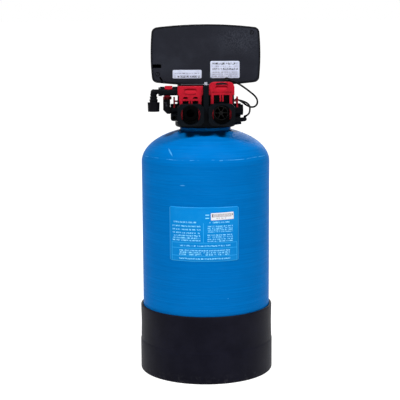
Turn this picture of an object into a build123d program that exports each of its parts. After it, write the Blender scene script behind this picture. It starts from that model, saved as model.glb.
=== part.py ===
from build123d import *

import math
import os

# A small metered water softener: a wound pressure vessel in a boot, and a clip-port control
# valve with its head. Millimetres, +Z up, origin on the vessel's axis at the floor.
# The pipe ports face -Y, the display faces +Y.

# Clearances
SLIP = 0.3
RUNNING = 0.05
BOND = 0.1
OVERRUN = 2.0

# Vessel
TANK_R = 115.0
DOME_H = 61.6
DOME_LOW = 76.0
DOME_HIGH = 381.6
WINDING_T = 3.0
LINER_T = 2.5
NECK_R = 45.5
NECK_TOP = 444.0
NECK_BORE_R = 32.5
NECK_FILLET = 2.5

# Boot
BOOT_WALL = 5.2
BOOT_R = TANK_R + SLIP + BOOT_WALL
BOOT_H = 104.7
BOOT_FLOOR = 5.0
BOOT_WAIST = 0.9
BOOT_EDGE = 3.0
BOOT_CREASE_Z = 54.0
BOOT_RIB_T = 3.0
BOOT_RIB_IN_R = 32.0
BOOT_RIBS = 8

# Resin, riser and distributors
RESIN_TOP = 300.0
RISER_R = 13.35
RISER_BORE_R = 10.5
RISER_LOW = 34.0
RISER_TOP = 456.0
BASKET_R = 24.0
BASKET_TIP_R = 15.0
BASKET_H = 42.0
BASKET_FLOOR_Z = 20.9
BASKET_T = 2.5
BASKET_SLOTS = 12
BASKET_SLOT_W = 1.2
TOP_BASKET_R = 21.0
TOP_BASKET_H = 30.0

# Valve body
COLLAR_R = 54.0
COLLAR_T = 10.0
COLLAR_EDGE = 3.5
SPIGOT_R = 31.6
SPIGOT_BORE_R = 24.0
SPIGOT_L = 26.0
GASKET_W = 4.0
GASKET_T = 2.0
BLOCK_X = 50.0
BLOCK_BACK = -48.0
BLOCK_FRONT = 40.0
BLOCK_TOP = 489.0
BLOCK_EDGE = 7.0
TOWER_X = 49.5
TOWER_BACK = -51.5
TOWER_FRONT = 33.0
TOWER_TOP = 517.5
TOWER_EDGE = 6.0
RIM_X = 42.0
RIM_T = 8.5
RIM_TOP = 523.0
FLANGE_X = 38.0
FLANGE_BACK = -32.0
FLANGE_TOP = 529.0
BORE_R = 16.0
BORE_LOW = 461.5
CHANNEL_R = 7.0

# Pipe ports
PORT_X = 27.1
PORT_Z = 470.0
PORT_FACE = -78.0
BOSS_W = 46.0
BOSS_LOW = 451.0
BOSS_TOP = 488.5
BOSS_EDGE = 6.0
PORT_BORE_R = 13.5
MOUTH_R = 17.2
MOUTH_END = -54.2
PORT_BORE_END = -38.4
CHAMBER_R = 12.6
CHAMBER_END = -20.0
POST_W = 9.0
POST_Y = -66.0
POST_TOP = 518.0

# Port clips
CLIP_BACK = -60.5
CLIP_T = 5.0
LEG_IN = 13.8
LEG_OUT = 18.8
LEG_LOW = 458.0
RIGHT_CLIP_TOP = 526.0
RIGHT_CLIP_W = 45.0
RIGHT_CLIP_TOP_W = 25.0
RIGHT_GRIP_LOW = 503.0
RIGHT_SLOT_W = 21.0
RIGHT_SLOT_H = 2.4
RIGHT_SLOT_RISE = 1.6
RIGHT_SLOT_Z = 520.8
RIGHT_DISH_Z = 515.4
RIDGE_Z = 508.2
LEFT_CLIP_TOP = 519.0
LEFT_CLIP_W = 44.4
LEFT_WAIST_W = 40.0
LEFT_STEP_Z = 504.5
LEFT_GRIP_LOW = 492.8
LEFT_WINDOW_W = 8.4
LEFT_WINDOW_H = 2.0
LEFT_WINDOW_RISE = 1.4
LEFT_WINDOW_Z = 497.0
LEFT_WINDOW_X = 8.7
LEFT_DISH_Z = 510.6
SMILE_Z = 504.4
SMILE_W = 20.0
SMILE_SAG = 1.6
SMILE_T = 1.1
THUMB_W = 22.0
THUMB_H = 6.6
THUMB_DEPTH = 1.9
THUMB_LEAN_DEG = 22.0
PRONG_W = 2.6
PRONG_GAP = 4.2
PRONG_L = 11.0

# Drain line
DRAIN_Y = -48.3
DRAIN_Z = 509.0
DRAIN_PORT_R = 6.75
DRAIN_PORT_END = -80.0
DRAIN_FLANGE_R = 8.0
DRAIN_FLANGE_T = 3.0
DRAIN_BORE_R = 4.6
SPIGOT_DEPTH = 20.0
ELBOW_R = 4.2
ELBOW_BORE_R = 2.4
ELBOW_X = -91.4
ELBOW_BEND = 6.0
KNEE_R = 5.2
KNEE_DROP = 0.7
CONE_TOP = 505.5
CONE_R = 7.4
CONE_RIBS = 3
CONE_RIB_H = 0.6
ELBOW_LOW = 483.0
ELBOW_WIDE_R = 6.4
NUT_R = 10.6
NUT_TOP = 490.5
NUT_H = 16.0
NUT_GROOVES = 14
NUT_GROOVE_R = 0.6
NUT_BAND = 3.0
NUT_ROOF_T = 2.0
NUT_TAPER = 0.6
TUBE_R = 6.4
DRAIN_NECK_R = 3.2
DRAIN_LAND_L = 2.4
DRAIN_CLIP_L = 13.0
DRAIN_CLIP_TOP = 519.0
DRAIN_CLIP_X = -65.0
DRAIN_CLIP_LOW = 513.4
DRAIN_LEG_IN = 4.0
DRAIN_LEG_OUT = 5.6
DRAIN_LEG_L = 4.0
DRAIN_CLIP_EDGE = 0.6
LUG_W = 9.0
LUG_TOP = 517.6
WASHER_T = 2.5
WASHER_BORE_R = 1.0

# Side sockets, side clips, injector housing and side cap
SIDE_Y = -26.0
SIDE_Z = 475.0
SOCKET_R = 11.4
SOCKET_END = 62.0
SOCKET_BORE_R = 5.5
SIDE_CLIP_X = 55.5
SIDE_CLIP_T = 3.0
SIDE_LEG_W = 5.2
SIDE_LEG_OFF = 4.8
SIDE_CLIP_LOW = 471.5
SIDE_CLIP_TOP = 499.0
SIDE_RING_R = 3.4
SIDE_RING_HOLE_R = 1.5
SIDE_TAB_Z = 492.6
INJECTOR_OUT = 75.0
INJECTOR_IN = 62.6
INJECTOR_BACK = -40.0
INJECTOR_FRONT = -12.0
INJECTOR_LOW = 469.4
INJECTOR_TOP = 494.0
INJECTOR_CHAMFER = 7.0
PLUG_R = 7.6
PLUG_TOP = 501.0
PLUG_X = 67.6
WELL_R = 4.0
PIT_R = 3.0
NOZZLE_LOW = 486.0
NOZZLE_H = 4.0
NOZZLE_BORE_R = 0.5
INJECTOR_BORE_R = 2.0
UPPER_SCREW_AT = (-69.9, 488.6)
LOWER_SCREW_AT = (-69.0, 484.2)
INJECTOR_SCREW_R = 1.9
INJECTOR_SCREW_T = 1.2
SCREW_HEAD_R = 2.6
SCREW_R = 1.4
CAP_R = 9.5
CAP_T = 4.0
CAP_EDGE = 1.4

# Brine port
BRINE_X = -56.0
BRINE_Z = 463.8
BRINE_R = 6.0
BRINE_BORE_R = 3.2
BRINE_FACE = -54.0
BRINE_DEPTH = 14.0
BRINE_BLOCK_END = 61.5
BRINE_EDGE = 3.0

# Flow meter
CAGE_T = 9.0
HUB_R = 3.2
AXLE_R = 1.0
BLADE_R = 10.8
BLADE_T = 1.2
BLADES = 6
BLADE_TWIST = 35.0
ROTOR_L = 9.0
SENSOR_Y = -30.0
SENSOR_Z = 458.5
SENSOR_R = 3.8
SENSOR_END = 69.0
SENSOR_DEPTH = 14.0
SENSOR_LEAN_DEG = 83.0
SENSOR_BOSS_END = 62.0
SENSOR_BOSS_R = 8.0
LEAD_R = 1.6
BEND_SHARE = 0.45

# Piston stack
PISTON_R = 9.4
PISTON_WAIST_R = 6.0
PISTON_L = 24.0
PISTON_LOW = 465.5
ROD_R = 4.0
ROD_TOP = 562.0
SEAL_T = 3.0
SEALS = 5
SPACER_H = 8.0
SPACER_BORE_R = 11.5
SPACER_WINDOWS = 6
SPACER_WINDOW_W = 6.0

# Drive
BRACKET_LOW = 529.0
BRACKET_T = 3.0
BRACKET_X0 = -79.0
BRACKET_X1 = 40.0
BRACKET_Y = 33.0
MOTOR_PLATE_LOW = 555.0
MODULE = 1.25
PRESSURE_DEG = 25.0
ROOT_SHARE = 1.25
DRIVE_TEETH = 50
SMALL_TEETH = 12
LARGE_TEETH = 36
BACKLASH = 0.3
DRIVE_LOW = 536.0
DRIVE_T = 7.0
DRIVE_HUB_R = 11.0
GEAR_HOLES = 6
GEAR_HOLE_R = 5.1
IDLER_LARGE_LOW = 546.0
IDLER_T = 4.5
PINION_T = 6.0
GEAR_PIN_R = 2.0
MOTOR_R = 17.0
MOTOR_H = 26.0
MOTOR_EAR_R = 4.0
MOTOR_EDGE = 1.4
SHAFT_R = 2.5

# Control head
HEAD_X = 96.0
HEAD_BOW = 2.7
HEAD_LOW = 519.0
HEAD_H = 106.0
HEAD_TOP = HEAD_LOW + HEAD_H
HEAD_END_BOW = 6.0
HEAD_CORNER = 10.0
HEAD_BACK = -40.0
HEAD_FRONT = 50.0
HEAD_WALL = 3.0
HEAD_NOSE = 7.0
PANEL_INSET = 2.6
PANEL_T = 3.0
PANEL_EDGE = 0.8
RIGHT_SCREW_AT = (HEAD_X - 15.0, HEAD_TOP - 14.5)
LEFT_SCREW_AT = (12.0 - HEAD_X, HEAD_LOW + 20.0)
RECESS_R = 3.4
RECESS_DEPTH = 1.6
SLOT_Z = HEAD_LOW + 34.0
SLOT_W = 18.5
SLOT_H = 6.5
NOTCH_W = 2.8
NOTCH_L = 12.0
NOTCH_TURN = 30.0
COVER_SCREW_L = 14.0
POST_R = 4.0
WINDOW_W = 92.0
WINDOW_SHARE = 0.377
WINDOW_RISE_SHARE = 0.642
BUTTON_RISE_SHARE = 0.292
WINDOW_H = HEAD_H * WINDOW_SHARE
WINDOW_Z = HEAD_LOW + HEAD_H * WINDOW_RISE_SHARE
WINDOW_T = 2.0
WINDOW_CORNER = 6.0
BUTTON_Z = HEAD_LOW + HEAD_H * BUTTON_RISE_SHARE
BUTTON_PITCH = 26.0
BUTTON_R = 7.0
BUTTON_TRAVEL = 1.0
BUTTON_FLANGE = 1.6
BOARD_Y = 39.0
BOARD_T = 1.6
BOARD_W = 128.0
BOARD_EDGE = 6.0
BOARD_LOW = BUTTON_Z - BUTTON_R - BOARD_EDGE / 2
BOARD_TOP = WINDOW_Z + WINDOW_H / 2 + BOARD_EDGE
SWITCH_T = 2.6
GROMMET_AT = (37.0, 528.0)
GROMMET_R = 3.4
STEM_R = 2.35
STEM_L = 5.5

# Cable tie
TIE_Z = 520.9
TIE_H = 1.3
TIE_T = 1.0
TIE_HEAD = 5.2

# The flow-meter lead: its route from the head's grommet to the sensor plug, held once on
# the way by a hook on the tower's flank
LEAD_HELD_AT = (56.6, -6.0, 491.8)
LEAD_ROUTE = [
    (40.0, -44.5, 528.0),
    (46.0, -50.0, 527.5),
    (55.0, -52.0, 523.4),
    (66.0, -51.4, 516.4),
    (77.4, -50.2, 507.8),
    (85.4, -49.0, 501.2),
    (90.2, -47.4, 494.2),
    (90.6, -45.2, 486.8),
    (86.6, -42.4, 481.4),
    (80.2, -39.0, 480.0),
    (73.6, -34.6, 482.2),
    (67.6, -28.4, 486.4),
    (62.8, -21.2, 489.6),
    (59.2, -13.6, 491.4),
    LEAD_HELD_AT,
    (56.6, 2.6, 491.2),
    (60.9, 8.5, 489.6),
    (67.8, 10.8, 487.6),
    (74.7, 8.5, 484.8),
    (79.0, 2.6, 481.2),
    (79.8, -5.2, 477.0),
    (79.2, -13.2, 472.8),
    (77.8, -21.0, 468.8),
    (74.8, -27.0, 465.8),
    (70.8, -29.9, 463.9),
]


def upright(radius, low, high, x=0, y=0):
    """A cylinder along Z between two heights."""
    return Pos(x, y, (low + high) / 2) * Cylinder(radius, high - low)


def along_x(radius, start, end, y, z):
    """A cylinder along X between two places."""
    return Pos((start + end) / 2, y, z) * Rot(0, 90, 0) * Cylinder(radius, abs(end - start))


def along_y(radius, start, end, x, z):
    """A cylinder along Y between two places."""
    return Pos(x, (start + end) / 2, z) * Rot(90, 0, 0) * Cylinder(radius, abs(end - start))


def block(x0, x1, y0, y1, z0, z1):
    """A box between six limits."""
    centre = Pos((x0 + x1) / 2, (y0 + y1) / 2, (z0 + z1) / 2)
    return centre * Box(abs(x1 - x0), abs(y1 - y0), abs(z1 - z0))


def rounded(shape, axis, radius):
    """A shape with its edges along one axis rounded."""
    return fillet(shape.edges().filter_by(axis), radius)


def turned(points):
    """A solid of revolution about Z from an outline of radius and height."""
    return revolve(Plane.XZ * make_face(Polyline(*points, close=True)), Axis.Z)


def ring(outer, inner, low, high, x=0, y=0):
    """A round sleeve along Z."""
    return upright(outer, low, high, x, y) - upright(inner, low - OVERRUN, high + OVERRUN, x, y)


def save(shape, name):
    """Writes one node."""
    export_step(shape, f"parts/{name}.step")


# Vessel


def vessel_half(radius, dome):
    """Half of a closed vessel's outline: two quarter ellipses and a straight wall."""
    lower = EllipticalCenterArc((0, DOME_LOW), radius, dome, start_angle=270, arc_size=90)
    wall = Line((radius, DOME_LOW), (radius, DOME_HIGH))
    upper = EllipticalCenterArc((0, DOME_HIGH), radius, dome, start_angle=0, arc_size=90)
    axis = Line((0, DOME_HIGH + dome), (0, DOME_LOW - dome))
    return make_face([lower, wall, upper, axis])


def vessel(radius, dome):
    """A closed vessel, its half outline turned about Z."""
    return revolve(Plane.XZ * vessel_half(radius, dome), Axis.Z)


def tank_winding():
    """The wound glass-fibre shell, with the neck that the valve screws down on."""
    neck = Pos(NECK_R / 2, (DOME_HIGH + NECK_TOP) / 2) * Rectangle(NECK_R, NECK_TOP - DOME_HIGH)
    outline = vessel_half(TANK_R, DOME_H) + neck
    foot = [v for v in outline.vertices() if abs(v.X - NECK_R) < BOND and v.Y < NECK_TOP - BOND]
    outline = fillet(foot, NECK_FILLET)
    shell = revolve(Plane.XZ * outline, Axis.Z)
    neck_outer = NECK_BORE_R + 2 * LINER_T + BOND
    shell = shell - vessel(TANK_R - WINDING_T, DOME_H - WINDING_T)
    return shell - upright(neck_outer, DOME_HIGH, NECK_TOP + OVERRUN)


def tank_liner():
    """The moulded liner with its threaded neck insert, bonded inside the winding."""
    outer_r = TANK_R - WINDING_T - BOND
    outer_dome = DOME_H - WINDING_T - BOND
    liner = vessel(outer_r, outer_dome)
    liner = liner + upright(NECK_BORE_R + 2 * LINER_T, DOME_HIGH, NECK_TOP)
    liner = liner - vessel(outer_r - LINER_T, outer_dome - LINER_T)
    return liner - upright(NECK_BORE_R, DOME_HIGH, NECK_TOP + OVERRUN)


def boot():
    """The boot: a slightly waisted cup with ribs under the vessel's dome."""
    inner = TANK_R + SLIP
    mid = (BOOT_CREASE_Z + BOOT_H) / 2
    outline = [
        (0, 0),
        (BOOT_R, 0),
        (BOOT_R, BOOT_CREASE_Z),
        (BOOT_R - BOOT_WAIST, mid),
        (BOOT_R - BOOT_WAIST / 2, BOOT_H),
        (inner, BOOT_H),
        (inner, BOOT_FLOOR),
        (0, BOOT_FLOOR),
    ]
    cup = turned(outline)
    rounds = [e for e in cup.edges().filter_by(GeomType.CIRCLE) if e.radius > inner + SLIP]
    cup = fillet([e for e in rounds if e.center().Z < SLIP or e.center().Z > BOOT_H - SLIP], BOOT_EDGE)
    reach = inner + BOOT_WALL / 2
    rib = block(BOOT_RIB_IN_R, reach, -BOOT_RIB_T / 2, BOOT_RIB_T / 2, BOOT_FLOOR / 2, DOME_LOW)
    rib = rib - vessel(TANK_R + SLIP, DOME_H + SLIP)
    ribs = [Rot(0, 0, n * 360 / BOOT_RIBS) * rib for n in range(BOOT_RIBS)]
    return cup + ribs


def resin_bed():
    """The resin, two thirds up the liner, with the riser and its basket standing in it."""
    clear_r = TANK_R - WINDING_T - LINER_T - 2 * BOND - SLIP
    clear_dome = DOME_H - WINDING_T - LINER_T - 2 * BOND - SLIP
    bed = vessel(clear_r, clear_dome)
    bed = bed - upright(TANK_R, RESIN_TOP, NECK_TOP)
    bed = bed - upright(RISER_R + SLIP, RISER_LOW, RESIN_TOP + OVERRUN)
    basket_top = BASKET_FLOOR_Z + BASKET_H
    return bed - upright(BASKET_R + SLIP, DOME_LOW - DOME_H, basket_top + SLIP)


def riser_tube():
    """The tube that brings treated water up from the bottom of the resin."""
    return ring(RISER_R, RISER_BORE_R, RISER_LOW, RISER_TOP)


def basket(low_r, high_r, low, high, bore_r):
    """A slotted strainer cup, its slots cut upright round the wall."""
    outside = [(0, low), (low_r, low), (high_r, high), (0, high)]
    floor = low + BASKET_T
    roof = high - BASKET_T
    inside = [(0, floor), (low_r - BASKET_T, floor), (high_r - BASKET_T, roof), (0, roof)]
    cup = turned(outside) - turned(inside)
    cup = cup - upright(bore_r, roof - OVERRUN, high + OVERRUN)
    rise = (high - low) / 5
    reach = max(low_r, high_r) + OVERRUN
    slot = block(0, reach, -BASKET_SLOT_W / 2, BASKET_SLOT_W / 2, low + rise, high - rise)
    return cup - [Rot(0, 0, n * 360 / BASKET_SLOTS) * slot for n in range(BASKET_SLOTS)]


def bottom_distributor():
    """The strainer at the riser's foot."""
    top = BASKET_FLOOR_Z + BASKET_H
    return basket(BASKET_TIP_R, BASKET_R, BASKET_FLOOR_Z, top, RISER_R + BOND)


def top_distributor():
    """The strainer under the valve, with the riser passing through it."""
    high = NECK_TOP - SPIGOT_L - SLIP
    low = high - TOP_BASKET_H
    strainer = basket(TOP_BASKET_R - BASKET_T, TOP_BASKET_R, low, high, RISER_R + SLIP)
    return strainer - upright(RISER_R + SLIP, low - OVERRUN, high + OVERRUN)


# Valve body


def port_boss(side):
    """A chamfered block round one pipe port, on the left (-1) or the right (1)."""
    centre = side * PORT_X
    boss = block(
        centre - BOSS_W / 2, centre + BOSS_W / 2, PORT_FACE, BLOCK_BACK + OVERRUN, BOSS_LOW, BOSS_TOP
    )
    return chamfer(boss.edges().filter_by(Axis.Y), BOSS_EDGE)


def leg_slots(side):
    """The two slots that a port clip's legs drop into."""
    centre = side * PORT_X
    slots = []
    for hand in (-1, 1):
        near = centre + hand * (LEG_IN - SLIP)
        far = centre + hand * (LEG_OUT + SLIP)
        back = CLIP_BACK - SLIP
        front = CLIP_BACK + CLIP_T + SLIP
        slots.append(block(near, far, back, front, LEG_LOW - SLIP, BOSS_TOP + OVERRUN))
    return slots


def side_socket(side):
    """The round socket on one flank, slotted for its side clip."""
    return along_x(SOCKET_R, side * (BLOCK_X - OVERRUN), side * SOCKET_END, SIDE_Y, SIDE_Z)


def side_clip_slots(side):
    """Slots down either side of the socket's bore for the side clip's legs."""
    near = side * (SIDE_CLIP_X - SIDE_CLIP_T / 2 - SLIP)
    far = side * (SIDE_CLIP_X + SIDE_CLIP_T / 2 + SLIP)
    slots = []
    for hand in (-1, 1):
        inside = SIDE_Y + hand * (SIDE_LEG_OFF - SLIP)
        outside = SIDE_Y + hand * (SIDE_LEG_OFF + SIDE_LEG_W + SLIP)
        slots.append(block(near, far, inside, outside, SIDE_CLIP_LOW - SLIP, SIDE_Z + SOCKET_R))
    return slots


def valve_body():
    """The moulded body: collar, port bosses, tower for the piston stack and side sockets."""
    collar_top = NECK_TOP + COLLAR_T
    collar = upright(COLLAR_R, NECK_TOP + SLIP, collar_top)
    collar = fillet(collar.edges().group_by(Axis.Z)[0], COLLAR_EDGE)
    body = collar + upright(SPIGOT_R, NECK_TOP - SPIGOT_L, collar_top)
    low = block(-BLOCK_X, BLOCK_X, BLOCK_BACK, BLOCK_FRONT, BOSS_LOW, BLOCK_TOP)
    body = body + rounded(low, Axis.Z, BLOCK_EDGE)
    tower = block(-TOWER_X, TOWER_X, TOWER_BACK, TOWER_FRONT, BLOCK_TOP - OVERRUN, TOWER_TOP)
    body = body + rounded(tower, Axis.Z, TOWER_EDGE)
    body = body + block(-RIM_X, RIM_X, TOWER_BACK, TOWER_BACK + RIM_T, TOWER_TOP - OVERRUN, RIM_TOP)
    body = body + block(
        -FLANGE_X, FLANGE_X, FLANGE_BACK, TOWER_FRONT - OVERRUN, TOWER_TOP - OVERRUN, FLANGE_TOP
    )
    body = body + block(-POST_W / 2, POST_W / 2, POST_Y, TOWER_BACK + OVERRUN, BOSS_LOW, POST_TOP)
    body = body + [port_boss(-1), port_boss(1), side_socket(-1), side_socket(1)]
    body = body + drain_port() + brine_port() + sensor_boss()
    body = body - piston_cavity()
    for side in (-1, 1):
        body = body - along_y(MOUTH_R, PORT_FACE - OVERRUN, MOUTH_END, side * PORT_X, PORT_Z)
        body = body - leg_slots(side) - side_clip_slots(side)
        socket_out = side * (SOCKET_END + OVERRUN)
        body = body - along_x(SOCKET_BORE_R, side * BLOCK_X, socket_out, SIDE_Y, SIDE_Z)
        body = body - along_y(PORT_BORE_R, MOUTH_END - OVERRUN, PORT_BORE_END, side * PORT_X, PORT_Z)
    body = body - along_y(CHAMBER_R, PORT_BORE_END - OVERRUN, CHAMBER_END, PORT_X, PORT_Z)
    body = body - water_ways()
    body = body - sensor_socket() - gasket_groove()
    return body


def piston_cavity():
    """The upright bore for the seals and piston, and the riser's seat below it."""
    cavity = upright(BORE_R, BORE_LOW, FLANGE_TOP + OVERRUN)
    cavity = cavity + upright(RISER_R + SLIP, NECK_TOP, RISER_TOP + SLIP)
    cavity = cavity + upright(RISER_BORE_R, RISER_TOP, BORE_LOW + OVERRUN)
    return cavity + upright(SPIGOT_BORE_R, NECK_TOP - SPIGOT_L - OVERRUN, NECK_TOP)


def channel(start, end):
    """A round channel between two points, with a ball at its far end for the bend."""
    run = Vector(*end) - Vector(*start)
    straight = Plane(origin=start, z_dir=run.normalized()) * Pos(0, 0, run.length / 2)
    return straight * Cylinder(CHANNEL_R, run.length) + Pos(*end) * Sphere(CHANNEL_R)


def water_ways():
    """The channels from the ports to two levels of the piston bore."""
    turn_y = CHAMBER_END + CHANNEL_R + OVERRUN
    high_z = PORT_Z + 3 * CHANNEL_R
    left_corner = (-PORT_X, turn_y, PORT_Z)
    right_corner = (PORT_X, turn_y, PORT_Z)
    right_top = (PORT_X, turn_y, high_z)
    return [
        channel((-PORT_X, PORT_BORE_END - OVERRUN, PORT_Z), left_corner),
        channel(left_corner, (-BORE_R / 2, turn_y, PORT_Z)),
        channel((PORT_X, CHAMBER_END - OVERRUN, PORT_Z), right_corner),
        channel(right_corner, right_top),
        channel(right_top, (BORE_R / 2, turn_y, high_z)),
    ]


def gasket_groove():
    """The groove under the collar for the vessel's O-ring."""
    return ring(SPIGOT_R + GASKET_W, SPIGOT_R, NECK_TOP, NECK_TOP + SLIP + GASKET_T)


def drain_port():
    """The drain spout on the left, with its end flange and the clip's slots."""
    port = along_x(DRAIN_PORT_R, -TOWER_X + OVERRUN, DRAIN_PORT_END, DRAIN_Y, DRAIN_Z)
    flange_start = DRAIN_PORT_END + DRAIN_FLANGE_T
    port = port + along_x(DRAIN_FLANGE_R, flange_start, DRAIN_PORT_END, DRAIN_Y, DRAIN_Z)
    bore_end = DRAIN_PORT_END + SPIGOT_DEPTH + WASHER_T + SLIP
    lug_y0 = DRAIN_Y - LUG_W / 2
    lug_y1 = DRAIN_Y + LUG_W / 2
    gap = DRAIN_CLIP_L / 2 + SLIP
    for x0, x1 in ((DRAIN_PORT_END, DRAIN_CLIP_X - gap), (DRAIN_CLIP_X + gap, OVERRUN - TOWER_X)):
        port = port + rounded(block(x0, x1, lug_y0, lug_y1, DRAIN_Z, LUG_TOP), Axis.X, DRAIN_CLIP_EDGE)
    port = port - along_x(DRAIN_BORE_R, DRAIN_PORT_END - OVERRUN, bore_end, DRAIN_Y, DRAIN_Z)
    for hand in (-1, 1):
        inside = DRAIN_Y + hand * (DRAIN_LEG_IN - SLIP)
        outside = DRAIN_Y + hand * (DRAIN_LEG_OUT + SLIP)
        x0 = DRAIN_CLIP_X - DRAIN_LEG_L / 2 - SLIP
        x1 = DRAIN_CLIP_X + DRAIN_LEG_L / 2 + SLIP
        port = port - block(x0, x1, inside, outside, DRAIN_Z - DRAIN_LEG_L, DRAIN_CLIP_TOP)
    return port


def brine_port():
    """The brine connection on the lower left, with its round mouth facing the viewer."""
    low = BRINE_Z - BRINE_R
    front = SIDE_Y + SOCKET_R
    lump = block(-BRINE_BLOCK_END, -BLOCK_X + OVERRUN, BLOCK_BACK, front, low, low + 2 * BRINE_R)
    lump = rounded(lump, Axis.Y, BRINE_EDGE)
    lump = lump + along_y(BRINE_R, BRINE_FACE, BLOCK_BACK + OVERRUN, BRINE_X, BRINE_Z)
    return lump - along_y(BRINE_BORE_R, BRINE_FACE - OVERRUN, BRINE_FACE + BRINE_DEPTH, BRINE_X, BRINE_Z)


def sensor_axis():
    """Where the sensor plug enters, sloping up a little as it leaves the body."""
    return Pos(SENSOR_END, SENSOR_Y, SENSOR_Z) * Rot(0, SENSOR_LEAN_DEG, 0)


def sensor_boss():
    """The round boss on the right flank that the sensor plugs into."""
    gap = SENSOR_END - SENSOR_BOSS_END
    length = SENSOR_BOSS_END - BLOCK_X + OVERRUN
    return sensor_axis() * Pos(0, 0, -gap - length / 2) * Cylinder(SENSOR_BOSS_R, length)


def sensor_socket():
    """The blind hole in the right flank for the flow sensor."""
    depth = SENSOR_END - BLOCK_X + SENSOR_DEPTH
    return sensor_axis() * Pos(0, 0, -depth / 2) * Cylinder(SENSOR_R + SLIP, depth)


# Clips


def clip_leg(x, top):
    """Two straight legs either side of a port's axis."""
    legs = []
    for hand in (-1, 1):
        leg = block(
            x + hand * LEG_IN, x + hand * LEG_OUT, CLIP_BACK, CLIP_BACK + CLIP_T, LEG_LOW, top
        )
        legs.append(leg)
    return legs


def plate_in_front(face, x, thickness):
    """A flat moulding cut from an outline seen from the viewer's side."""
    return Pos(x, CLIP_BACK + thickness, 0) * extrude(Plane.XZ * face, thickness)


def arched(width, height, rise):
    """An outline with a straight foot and a top that rises in one arc."""
    half = width / 2
    return make_face([
        Line((-half, 0), (half, 0)),
        Line((half, 0), (half, height)),
        ThreePointArc((half, height), (0, height + rise), (-half, height)),
        Line((-half, height), (-half, 0)),
    ])


def smile():
    """The outline of a thin slit that sags in the middle."""
    half = SMILE_W / 2
    low = SMILE_SAG - SMILE_T
    return make_face([
        ThreePointArc((-half, SMILE_SAG), (0, 0), (half, SMILE_SAG)),
        Line((half, SMILE_SAG), (half, low)),
        ThreePointArc((half, low), (0, -SMILE_T), (-half, low)),
        Line((-half, low), (-half, SMILE_SAG)),
    ])


def through(outline, x):
    """A cutter right through a clip's grip."""
    return Pos(0, -OVERRUN, 0) * plate_in_front(outline, x, CLIP_T + 2 * OVERRUN)


def groove(outline, x):
    """A shallow cutter in a clip's face."""
    return Pos(0, THUMB_DEPTH - CLIP_T, 0) * plate_in_front(outline, x, CLIP_T)


def thumb_scoop(x, z):
    """A leaning cutter for the thumb's recess, deeper at its upper edge."""
    outline = RectangleRounded(THUMB_W, THUMB_H, THUMB_H / 2 - BOND)
    scoop = extrude(Plane.XZ * outline, CLIP_T)
    return Pos(x, CLIP_BACK + THUMB_DEPTH, z) * Rot(-THUMB_LEAN_DEG, 0, 0) * scoop


def outlet_clip():
    """The taller clip: an arched grip with a through slot, a thumb recess and centre prongs."""
    height = RIGHT_CLIP_TOP - RIGHT_GRIP_LOW
    outline = Pos(0, RIGHT_GRIP_LOW + height / 2) * Rectangle(RIGHT_CLIP_W, height)
    shoulders = outline.vertices().group_by(Axis.Y)[-1]
    outline = fillet(shoulders, (RIGHT_CLIP_W - RIGHT_CLIP_TOP_W) / 2)
    grip = plate_in_front(outline, PORT_X, CLIP_T)
    grip = chamfer(grip.faces().sort_by(Axis.Y)[0].edges(), CLIP_T / 8)
    slot = Pos(0, RIGHT_SLOT_Z) * arched(RIGHT_SLOT_W, RIGHT_SLOT_H, RIGHT_SLOT_RISE)
    grip = grip - through(slot, PORT_X) - thumb_scoop(PORT_X, RIGHT_DISH_Z)
    ridge = Pos(0, RIDGE_Z) * Rectangle(RIGHT_CLIP_W - 2 * CLIP_T, SMILE_T)
    grip = grip - Pos(0, -THUMB_DEPTH / 2, 0) * groove(ridge, PORT_X)
    clip = grip + clip_leg(PORT_X, RIGHT_GRIP_LOW + OVERRUN)
    for hand in (-1, 1):
        x = PORT_X + hand * PRONG_GAP / 2
        z0 = RIGHT_GRIP_LOW - PRONG_L
        z1 = RIGHT_GRIP_LOW + OVERRUN
        front = CLIP_BACK + CLIP_T / 2
        clip = clip + block(x - PRONG_W / 2, x + PRONG_W / 2, CLIP_BACK, front, z0, z1)
    return clip


def inlet_clip():
    """The squarer clip: flat top, stepped sides, thumb recess and two small windows."""
    half = LEFT_CLIP_W / 2
    waist = LEFT_WAIST_W / 2
    outline = Polyline(
        (half, LEFT_CLIP_TOP),
        (-half, LEFT_CLIP_TOP),
        (-half, LEFT_STEP_Z),
        (-waist, LEFT_STEP_Z - (half - waist)),
        (-waist, LEFT_GRIP_LOW),
        (waist, LEFT_GRIP_LOW),
        (waist, LEFT_STEP_Z - (half - waist)),
        (half, LEFT_STEP_Z),
        close=True,
    )
    grip = plate_in_front(make_face(outline), -PORT_X, CLIP_T)
    grip = chamfer(grip.faces().sort_by(Axis.Y)[0].edges(), CLIP_T / 8)
    grip = grip - thumb_scoop(-PORT_X, LEFT_DISH_Z)
    grip = grip - groove(Pos(0, SMILE_Z) * smile(), -PORT_X)
    for hand in (-1, 1):
        window = arched(LEFT_WINDOW_W, LEFT_WINDOW_H, LEFT_WINDOW_RISE)
        grip = grip - through(Pos(hand * LEFT_WINDOW_X, LEFT_WINDOW_Z) * window, -PORT_X)
    clip = grip + clip_leg(-PORT_X, LEFT_GRIP_LOW + OVERRUN)
    for hand in (-1, 1):
        x = -PORT_X + hand * PRONG_GAP / 2
        z0 = BOSS_TOP + SLIP
        z1 = LEFT_GRIP_LOW + OVERRUN
        front = CLIP_BACK + CLIP_T / 2
        clip = clip + block(x - PRONG_W / 2, x + PRONG_W / 2, CLIP_BACK, front, z0, z1)
    return clip


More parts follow.
